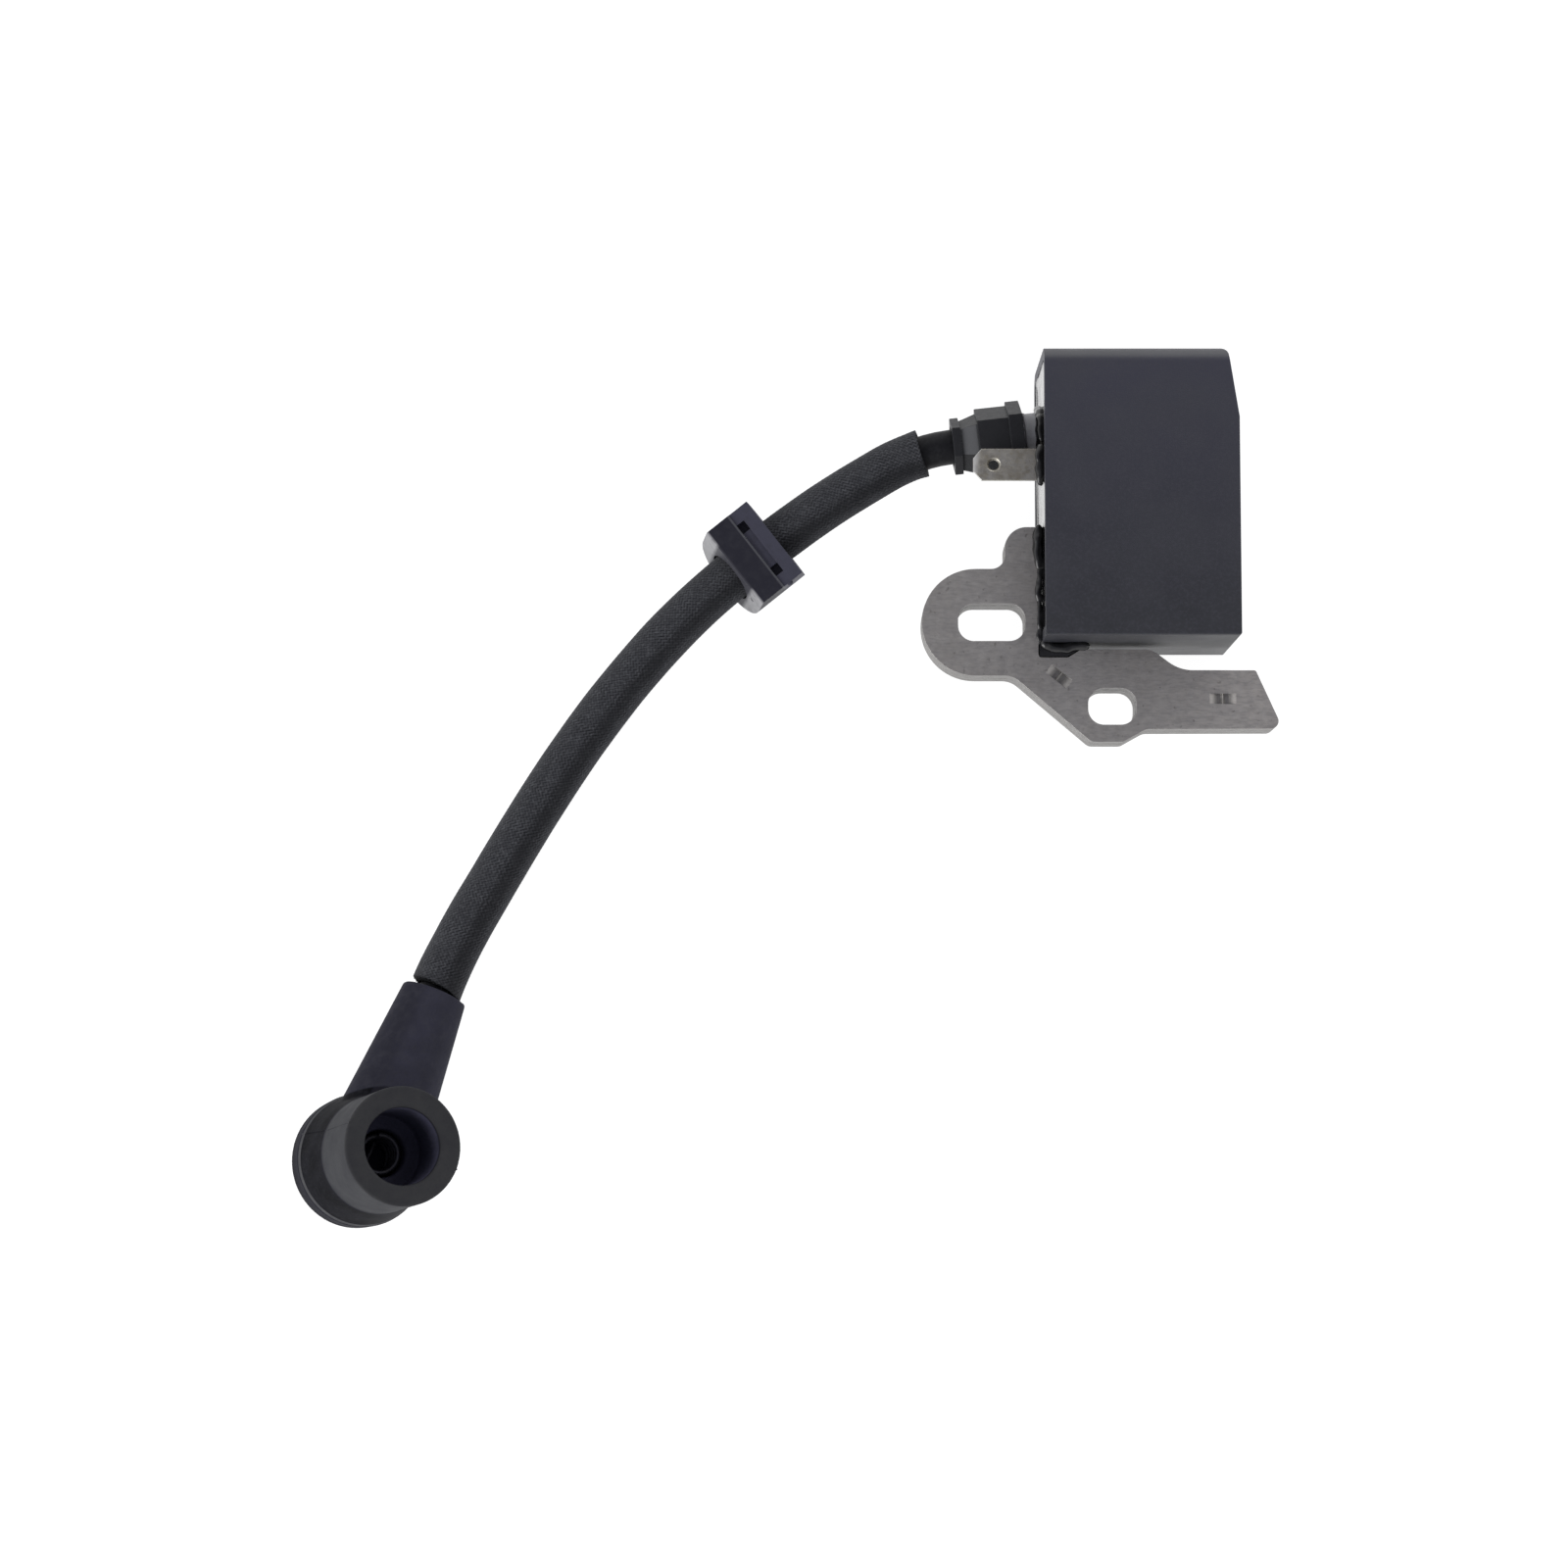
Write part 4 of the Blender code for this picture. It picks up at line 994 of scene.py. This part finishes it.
# ---- core

def slot_outline(slot):
    """An oblong hole: centre x, centre y, length and width along X and Y."""
    x, y, length, width = slot
    corners = [(x - length / 2, y - width / 2), (x + length / 2, y - width / 2),
               (x + length / 2, y + width / 2), (x - length / 2, y + width / 2)]
    return rounded([(across, up, SLOT_CORNER) for across, up in corners])


def core_outline():
    """The core sheet: coil leg, yoke with the mounting ear, and lower leg with its slanted shoe."""
    ear_left = EAR_CENTRE[0] - EAR_RADIUS
    ear_top = EAR_CENTRE[1] + EAR_RADIUS
    ear_bottom = EAR_CENTRE[1] - EAR_RADIUS
    leg_top = LEG_Y + LEG_HALF_WIDTH
    leg_bottom = LEG_Y - LEG_HALF_WIDTH
    return rounded([
        (POLE_X, leg_top, 0),
        (YOKE_NECK_X, leg_top, 3.3),
        (YOKE_NECK_X, ear_top, 2.1),
        (ear_left, ear_top, EAR_RADIUS - 0.01),
        (ear_left, ear_bottom, EAR_RADIUS - 0.01),
        (-13.2, ear_bottom, 3.6),
        (-1.4, LOWER_LEG_BOTTOM, 1.5),
        (3.4, LOWER_LEG_BOTTOM, 1.5),
        (6.9, -27.3, 2.0),
        (27.52, -27.25, 1.2),
        (23.5, SHOE_TOP, 0.4),
        (12.0, SHOE_TOP, 6.0),
        (7.8, LOWER_LEG_TOP, 3.5),
        (-2.9, LOWER_LEG_TOP, 1.5),
        (-4.8, YOKE_NECK_Y, 1.0),
        (YOKE_INNER_X, YOKE_NECK_Y, 0.5),
        (YOKE_INNER_X, leg_bottom, 0.5),
        (POLE_X, leg_bottom, 0),
    ], 5.0)


def interlock_tool(x, y, turn):
    """A cutter in the shape of the V-notched punch that locks the sheets."""
    stand_up = Matrix.Rotation(math.radians(90), 4, "X")
    turned_about_z = Matrix.Rotation(math.radians(turn), 4, "Z")
    place = Matrix.Translation(Vector((x, y, CORE_FRONT)) * MM) @ turned_about_z @ stand_up
    return prism("interlock", INTERLOCK_PROFILE, -INTERLOCK_WIDTH / 2, INTERLOCK_WIDTH / 2, place)


def make_core():
    finish = steel_finish()
    for index in range(SHEET_COUNT):
        number = f"{index + 1:02d}"
        low = CORE_BACK + index * SHEET_PITCH
        sheet = prism("sheet_" + number, core_outline(), low, low + SHEET_THICKNESS)
        for slot in (SLOT_1, SLOT_2):
            cut(sheet, prism("slot", slot_outline(slot), low - 1, low + 2))
        if index == SHEET_COUNT - 1:
            cut(sheet, *[interlock_tool(*place) for place in INTERLOCKS])
        else:
            drift = noise.noise_vector(Vector((index * 1.7, 0.4, 9.1))) * SHEET_DRIFT
            sheet.data.transform(Matrix.Translation((drift.x * MM, drift.y * MM, 0)))
        soften(sheet, 0.05, 2, crease=15.0)
        dress(sheet, "module", "core_steel", finish, "core_sheet_" + number)


# ---- outlets

def make_spade():
    """The stop-wire tab, coined thinner at its tip, with a countersunk hole."""
    low = SPADE_Y - SPADE_WIDTH / 2
    high = SPADE_Y + SPADE_WIDTH / 2
    along, across = SPADE_CHAMFER
    spade = prism("stop_wire_tab", [
        (SPADE_INNER, low), (SPADE_INNER, high), (SPADE_TIP + along, high), (SPADE_TIP, high - across),
        (SPADE_TIP, low + across), (SPADE_TIP + along, low),
    ], SPADE_BACK, SPADE_FRONT)
    coined = SPADE_TIP + SPADE_COIN_LENGTH
    beyond = SPADE_TIP - 0.2
    upper = [(beyond, SPADE_FRONT - 0.5), (coined, SPADE_FRONT), (beyond, SPADE_FRONT + 1)]
    lower = [(beyond, SPADE_BACK + 0.15), (coined, SPADE_BACK), (beyond, SPADE_BACK - 1)]
    for wedge in (upper, lower):
        cut(spade, prism("coin", wedge, low - 1, high + 1, along_axis=1))
    x, radius = SPADE_HOLE
    place = Matrix.Translation(Vector((x, SPADE_Y, SPADE_BACK)) * MM)
    thickness = SPADE_FRONT - SPADE_BACK
    wide = radius + SPADE_SINK
    sink = [(0, -1), (radius, -1), (radius, thickness - 0.3), (wide, thickness + 0.05),
            (wide, thickness + 1), (0, thickness + 1)]
    cut(spade, turned("hole", sink, place, 48))
    tail_low = (SPADE_INNER - 0.8, SPADE_Y - 1.3, BOARD_TOP)
    tail = block("tail", tail_low, (SPADE_INNER, SPADE_Y + 0.7, SPADE_BACK + 0.4))
    combine(spade, tail, "UNION")
    soften(spade, 0.07, 2)
    dress(spade, "module", "spade_metal", terminal_finish(), "spade_terminal")


def make_outlet():
    tower = turned("outlet_tower", TOWER_PROFILE, OUTLET)
    soften(tower, 0.12, 2, 40)
    dress(tower, "module", "tower_plastic", tower_finish(), "ht_tower")

    cap = turned("relief_cap", CAP_PROFILE, OUTLET, 6, 90)
    lead_bore = cylinder("bore", LEAD_BORE, -1, 8, OUTLET)
    tower_bore = cylinder("bore", CAP_BORE, CAP_BORE_FLOOR, 12, OUTLET)
    cut(cap, lead_bore, tower_bore)
    soften(cap, 0.16)
    dress(cap, "module", "cap_plastic", cap_finish(), "strain_relief_cap")


# ---- lead and sleeve

def make_lead():
    lead = wire("ignition_lead", [lead_path(1.5)], LEAD_RADIUS, sides=14)
    return dress(lead, "module", "lead_insulation", lead_finish(), "ht_lead")


def crown(around, along):
    """Height, 0 to 1, of a braid whose yarns run both ways round and pass over and under each other."""
    first = around - along
    second = around + along
    over = math.cos(math.pi * (round(first) + round(second)))
    first_height = math.cos(math.pi * (first - round(first))) + 0.35 * over
    second_height = math.cos(math.pi * (second - round(second))) - 0.35 * over
    return max(first_height, second_height) / 1.35


def sleeve_radius(share):
    """The braid's outer radius at a share of its length."""
    for (start, first), (end, second) in zip(SLEEVE_RADII, SLEEVE_RADII[1:]):
        if share <= end:
            return first + (second - first) * (share - start) / (end - start)
    return SLEEVE_RADII[-1][1]


def sleeve_span(path):
    """Distances along the lead's middle line at which the sleeve starts and ends."""
    end = path_length(path) - (NECK_LENGTH - LEAD_END) - SLEEVE_END_GAP
    return LEAD_START + SLEEVE_START_GAP, end


def sleeve_slant(spoke):
    """How far the sleeve's cut end by the boot reaches on one side."""
    return SLEEVE_SLANT * spoke.dot(Vector(SLEEVE_LONG_SIDE))


def make_sleeve():
    """The braided sleeve as a woven tube, square at the cap and frayed and aslant at the boot."""
    path = lead_path(LEAD_FINE_STEP)
    start, end = sleeve_span(path)
    pitch = 2 * math.pi * SLEEVE_RADII[0][1] / BRAID_YARNS
    sides = BRAID_YARNS * 4
    angles = [2 * math.pi * corner / sides for corner in range(sides)]
    count = round((end - start) / pitch * BRAID_RINGS_PER_PITCH)
    places = rings_along(evenly_spaced(path, start, end, count))
    build = bmesh.new()
    crowns = build.verts.layers.float.new("crown")
    outer = []
    for index, (place, course, normal, side) in enumerate(places):
        travelled = (end - start) * index / (count - 1)
        near_end = max(0.0, 1 - (end - start - travelled) / SLEEVE_FRAY_LENGTH)
        near_start = max(0.0, 1 - travelled / SLEEVE_FLARE_LENGTH)
        mean_radius = sleeve_radius(travelled / (end - start)) + SLEEVE_FLARE * near_start
        ring = []
        for corner, angle in enumerate(angles):
            spoke = spoke_at(normal, side, angle)
            height = crown(corner / 4, travelled / pitch)
            radius = mean_radius + BRAID_RELIEF * (height - 1)
            radius += SLEEVE_UNEVENNESS * noise.noise(place * 0.12 + spoke * 0.8)
            slant = sleeve_slant(spoke) + 0.12 * noise.noise(spoke * 4.0)
            vertex = build.verts.new(place + spoke * radius + course * slant * near_end * near_end)
            vertex[crowns] = height
            ring.append(vertex)
        outer.append(ring)
    inner = []
    for place, _, normal, side in places[::BRAID_RINGS_PER_BORE_RING] + [places[-1]]:
        spokes = [spoke_at(normal, side, angle) for angle in angles]
        inner.append([build.verts.new(place + spoke * SLEEVE_BORE) for spoke in spokes])
    bridge(build, outer + inner[::-1], closed=True)
    sleeve = new_object("woven_sleeve", build)
    return dress(sleeve, "module", "sleeve_textile", textile_finish(), "braided_sleeve")


def make_loose_threads(sleeve):
    """Frayed yarn ends at the sleeve's cut edge by the boot."""
    path = lead_path(LEAD_FINE_STEP)
    end = sleeve_span(path)[1]
    place, course, normal, side = rings_along(evenly_spaced(path, end - 1.0, end, 3))[-1]
    threads = []
    for index in range(THREAD_COUNT):
        shift = 0.6 * noise.noise(Vector((index * 2.3, 0, 0)))
        spoke = spoke_at(normal, side, 2 * math.pi * (index + shift) / THREAD_COUNT)
        across = course.cross(spoke)
        wander = noise.noise_vector(Vector((index * 3.1, 1.7, 0.3)))
        root = place + spoke * (sleeve_radius(1.0) - 0.3) + course * (sleeve_slant(spoke) - 0.5)
        length = 0.7 + 0.5 * abs(wander.x)
        middle = root + course * length * 0.6 + across * wander.y * 0.5 + spoke * 0.06
        tip = root + course * length + across * wander.y * 1.1 + spoke * (0.05 + 0.1 * wander.z)
        threads.append(smooth_path([root, middle, tip], 0.15))
    item = wire("frayed_ends", threads, THREAD_RADIUS, sides=2, taper=lambda share: 1 - 0.6 * share)
    return dress(item, "module", "sleeve_textile", sleeve.data.materials[0])


# ---- grommet

def make_grommet():
    """A rubber block, flat above and round below, with a shallow band and two pockets in its top.

    In its own frame X points up, Y across the lead and Z along it.
    """
    outline = arc((GROMMET_ROUND, 0), GROMMET_HALF_WIDTH, 90, 270, 60)
    outline += [(GROMMET_TOP, -GROMMET_HALF_WIDTH), (GROMMET_TOP, GROMMET_HALF_WIDTH)]
    grommet = prism("lead_grommet", outline, GROMMET_START, GROMMET_END)
    for vertex in grommet.data.vertices:
        if vertex.co.z > 0:
            vertex.co.z += (GROMMET_TOP * MM - vertex.co.x) * math.tan(GROMMET_LEAN)
    near, far = GROMMET_BAND
    inner, outer = GROMMET_POCKET
    above = GROMMET_TOP + 1
    step = GROMMET_TOP - GROMMET_STEP
    floor = GROMMET_TOP - GROMMET_POCKET_DEPTH
    cut(
        grommet,
        cylinder("bore", GROMMET_BORE, -10, 10, Matrix.Identity(4), 96),
        block("step", (step, -10, GROMMET_START - 1), (above, 10, far)),
        block("band", (step - GROMMET_BAND_DEPTH, -inner, near), (above, inner, far)),
        block("pocket", (floor, inner, near), (above, outer, far)),
        block("pocket", (floor, -outer, near), (above, -inner, far)),
    )
    dimple_middle = (GROMMET_TOP - GROMMET_DIMPLE_DROP, GROMMET_DIMPLE_SIDE, GROMMET_END)
    surface = GROMMET_DIMPLE_DROP * math.tan(GROMMET_LEAN)
    cut(grommet, cylinder("dimple", GROMMET_DIMPLE_RADIUS, surface - 0.5, surface + 2.0,
                          frame_at(dimple_middle, Z_AXIS, X_AXIS), 24))
    nib_root = (GROMMET_TOP - GROMMET_NIB_DROP, -GROMMET_HALF_WIDTH, GROMMET_NIB_ALONG)
    nib_profile = [(0, -0.5), (0.55, -0.5), (0.45, 0.25), (0.2, 0.42), (0, 0.45)]
    combine(grommet, turned("nib", nib_profile, frame_at(nib_root, -Y_AXIS, X_AXIS), 24), "UNION")
    grommet.matrix_world = GROMMET
    soften(grommet, 0.3, 3, 35)
    return dress(grommet, "grommet", "grommet_rubber", grommet_finish(), "grommet")


# ---- boot

def boot_finish():
    """Black rubber with a dusty bloom, and painted light and shade: shade on the neck's -X side and the
    flange's cone, highlights on the neck's top and the flange's edge, and a lighter band at the mouth end,
    mouth face and inside.
    """
    finish = Finish("boot_rubber", (0.0125, 0.0125, 0.018), 0.55, IOR=1.08)
    axis = BARREL.col[2].xyz

    def up(low, high):
        return finish.slope(axis, low, high, BARREL_BACK)

    def out(low, high):
        return finish.away_from(BARREL_BACK, axis, low, high)

    neck = out(10.0, 10.3)
    finish.tint(neck, (0.033, 0.033, 0.0465), 1.0)
    # Painted shade on the neck's -X side.
    finish.tint(finish.times(neck, finish.facing(NECK_SHADED_SIDE, 0.05, 0.5)), (0.020, 0.020, 0.0285), 0.7)
    # Painted highlight along the top of the neck.
    finish.tint(finish.times(neck, finish.facing(NECK_TOP_SIDE, 0.90, 0.99)), (0.041, 0.041, 0.060), 0.7)
    finish.tint(finish.times(neck, finish.clouds(1.2, 0.45, 0.7)), (0.046, 0.046, 0.056), 0.35)
    # Painted shade on the flange's cone.
    cone = finish.times(up(12.8, 12.6), out(10.2, 9.9))
    finish.tint(cone, (0.0035, 0.0037, 0.0048), 0.9)
    # Painted light: the straight band of the barrel below its mouth is painted lighter.
    lit_barrel_band_paint = finish.times(up(12.85, 13.1), out(8.45, 8.65), out(9.25, 9.1))
    finish.tint(lit_barrel_band_paint, (0.045, 0.046, 0.050), 1.0)
    # Painted highlight along the top edge of the flange.
    flange_edge_highlight_paint = finish.times(up(FLANGE_TOP, 4.35), up(4.85, 4.7), out(10.6, 10.3))
    finish.tint(flange_edge_highlight_paint, (0.095, 0.096, 0.10), 0.85)
    # Painted light on the mouth's end face.
    finish.tint(up(BARREL_LENGTH - 0.6, BARREL_LENGTH - 0.3), (0.046, 0.0465, 0.048), 0.9)
    # Painted light: the inside of the socket is painted lighter and bluish.
    inside = finish.times(out(5.95, 5.75), up(BARREL_LENGTH - 0.6, BARREL_LENGTH - 1.0))
    finish.tint(inside, (0.075, 0.075, 0.115), 0.85)
    finish.tint(finish.clouds(4.0, 0.35, 0.7), (0.019, 0.019, 0.025), 0.35)
    finish.tint(finish.clouds(0.5, 0.5, 0.75), (0.028, 0.028, 0.033), 0.3)
    finish.gloss(finish.clouds(2.5), 0.6)
    finish.relief(finish.clouds(0.4, 0.2, 0.8), 0.010)
    return finish.done()


def make_boot():
    boot = turned("right_angle_boot", BARREL_PROFILE, BARREL)
    neck_profile = [
        (0, 4.0), (NECK_ROOT_RADIUS + 0.06, 4.0), (NECK_MOUTH_RADIUS, NECK_LENGTH), (0, NECK_LENGTH),
    ]
    combine(boot, turned("neck", neck_profile, NECK), "UNION")
    bore = turned("bore", BORE_PROFILE, BARREL)
    neck_bore = cylinder("neck_bore", LEAD_BORE, 1.0, NECK_LENGTH + 1, NECK)
    cut(boot, bore, neck_bore)
    remesh = boot.modifiers.new("even", "REMESH")
    remesh.mode = "VOXEL"
    remesh.voxel_size = BOOT_VOXEL * MM
    remesh.use_smooth_shade = True
    smooth = boot.modifiers.new("smooth", "SMOOTH")
    smooth.factor = 0.5
    smooth.iterations = 5
    settle(boot)
    boot.data.shade_smooth()
    return dress(boot, "boot", "boot_rubber", boot_finish(), "spark_plug_boot")


def make_boot_seams(boot):
    """The mould's parting line up both sides of the barrel, with a nib of flash on the flange."""
    lines = []
    nibs = []
    for side in (-1, 1):
        lines.append([(0, side * (radius - 0.05), height) for radius, height in BARREL_PROFILE[3:-1]])
        nibs.append([(0, side * 9.6, 4.1), (0, side * 9.95, FLANGE_TOP), (0.1, side * 10.05, 4.3)])
    for name, paths, radius in (("boot_parting_lines", lines, 0.11), ("boot_flash", nibs, 0.22)):
        seam = wire(name, paths, radius, BARREL)
        dress(seam, "boot", "boot_rubber", boot.data.materials[0])


def make_spring():
    """The wire terminal: a spike that meets the lead, then a coil that grips the plug."""
    points = [(LEAD_END - 0.5, 0, NECK_HEIGHT), (1.2, 0, NECK_HEIGHT), (-1.3, 0, NECK_HEIGHT)]
    steps = 28
    for step in range(int(SPRING_TURNS * steps) + 1):
        angle = 2 * math.pi * step / steps
        height = NECK_HEIGHT + SPRING_LIFT * min(angle / math.pi, 1.0) + SPRING_PITCH * angle / (2 * math.pi)
        spoke = math.pi + 0.5 + angle
        points.append((SPRING_RADIUS * math.cos(spoke), SPRING_RADIUS * math.sin(spoke), height))
    spring = wire("contact_spring", [smooth_path(points, 0.5)], SPRING_WIRE, BARREL, 5)
    return dress(spring, "boot", "spring_wire", spring_finish(), "boot_spring")


# ---- parts inside the housing

def finish_inner_parts():
    bobbin = moulding_finish("bobbin_plastic", (0.40, 0.36, 0.27), (0.50, 0.46, 0.36), 0.42)
    refinish(bobbin, "primary_bobbin", "secondary_bobbin")
    refinish(copper_finish("primary_wire", 0.5), "primary_winding")
    fine_wire = copper_finish("secondary_wire", 0.12)
    refinish(fine_wire, *[f"secondary_winding_{number}" for number in range(1, 6)])
    refinish(laminate_finish(), "circuit_board")
    epoxy = moulding_finish("component_epoxy", (0.018, 0.018, 0.020), (0.035, 0.035, 0.037), 0.38)
    refinish(epoxy, "power_transistor", "driver_transistor", "protection_diode")
    lacquer = moulding_finish("capacitor_lacquer", (0.32, 0.07, 0.025), (0.42, 0.11, 0.04), 0.25)
    refinish(lacquer, "timing_capacitor")
    tan = moulding_finish("resistor_lacquer", (0.48, 0.34, 0.19), (0.56, 0.42, 0.27), 0.3)
    refinish(tan, "bias_resistor", "sense_resistor")
    refinish(metal_finish("tinned_wire", (0.60, 0.59, 0.57), (0.42, 0.41, 0.38), 0.28), "ground_lead")
    refinish(metal_finish("contact_brass", (0.58, 0.42, 0.17), (0.40, 0.27, 0.10), 0.25), "ht_contact_pin")


# ---- camera, light and floor

def make_camera():
    camera = bpy.data.objects.new("camera", bpy.data.cameras.new("camera"))
    back = Vector((0, -math.sin(VIEW_LEAN), math.cos(VIEW_LEAN)))
    camera.location = (Vector(VIEW_CENTRE) + back * VIEW_DISTANCE) * MM
    camera.rotation_euler = (VIEW_LEAN, 0, 0)
    camera.data.lens = LENS
    camera.data.sensor_width = 36.0
    camera.data.clip_start = 0.01
    bpy.context.scene.collection.objects.link(camera)
    bpy.context.scene.camera = camera


def softbox(name, direction, distance, size, power):
    """A square lamp that shines on the middle of the view. Distance and size are metres."""
    light = bpy.data.lights.new(name, "AREA")
    light.size = size
    light.energy = power
    item = bpy.data.objects.new(name, light)
    towards = Vector(direction).normalized()
    item.location = Vector(VIEW_CENTRE) * MM + towards * distance
    item.rotation_euler = towards.to_track_quat("Z", "Y").to_euler()
    bpy.context.scene.collection.objects.link(item)


def make_sky():
    """Even light that is brightest near the horizon, like a white tent with an open top."""
    world = bpy.data.worlds.new("tent")
    world.use_nodes = True
    nodes, links = world.node_tree.nodes, world.node_tree.links
    direction = nodes.new("ShaderNodeTexCoord")
    parts = nodes.new("ShaderNodeSeparateXYZ")
    ramp = nodes.new("ShaderNodeValToRGB")
    links.new(direction.outputs["Generated"], parts.inputs[0])
    links.new(parts.outputs["Z"], ramp.inputs["Fac"])
    links.new(ramp.outputs["Color"], nodes["Background"].inputs["Color"])
    for element, (place, colour) in zip(ramp.color_ramp.elements, (TENT[0], TENT[-1])):
        element.position, element.color = place, (*colour, 1.0)
    for place, colour in TENT[1:-1]:
        ramp.color_ramp.elements.new(place).color = (*colour, 1.0)
    bpy.context.scene.world = world


def make_floor():
    build = bmesh.new()
    bmesh.ops.create_grid(build, x_segments=2, y_segments=2, size=2500.0)
    floor = new_object("floor", build, Matrix.Translation((0, 0, -0.0002)))
    finish = Finish("pale_floor", (0.3, 0.3, 0.3), 0.7, Specular_IOR_Level=0.1, Emission_Strength=FLOOR_GLOW)
    finish.shader.inputs["Emission Color"].default_value = (1, 1, 1, 1)
    floor.data.materials.append(finish.done())


def make_studio():
    make_sky()
    make_floor()
    for lamp in LAMPS:
        softbox(*lamp)
    view = bpy.context.scene.view_settings
    view.view_transform = "Standard"
    view.look = "None"


# ---- the whole

def main():
    noise.seed_set(NOISE_SEED)
    make_camera()
    make_studio()
    lead = make_lead()
    sleeve = make_sleeve()
    threads = make_loose_threads(sleeve)
    grommet = make_grommet()
    boot = make_boot()
    make_boot_seams(boot)
    spring = make_spring()
    make_housing()
    make_resin()
    make_core()
    make_spade()
    make_outlet()
    finish_inner_parts()


main()
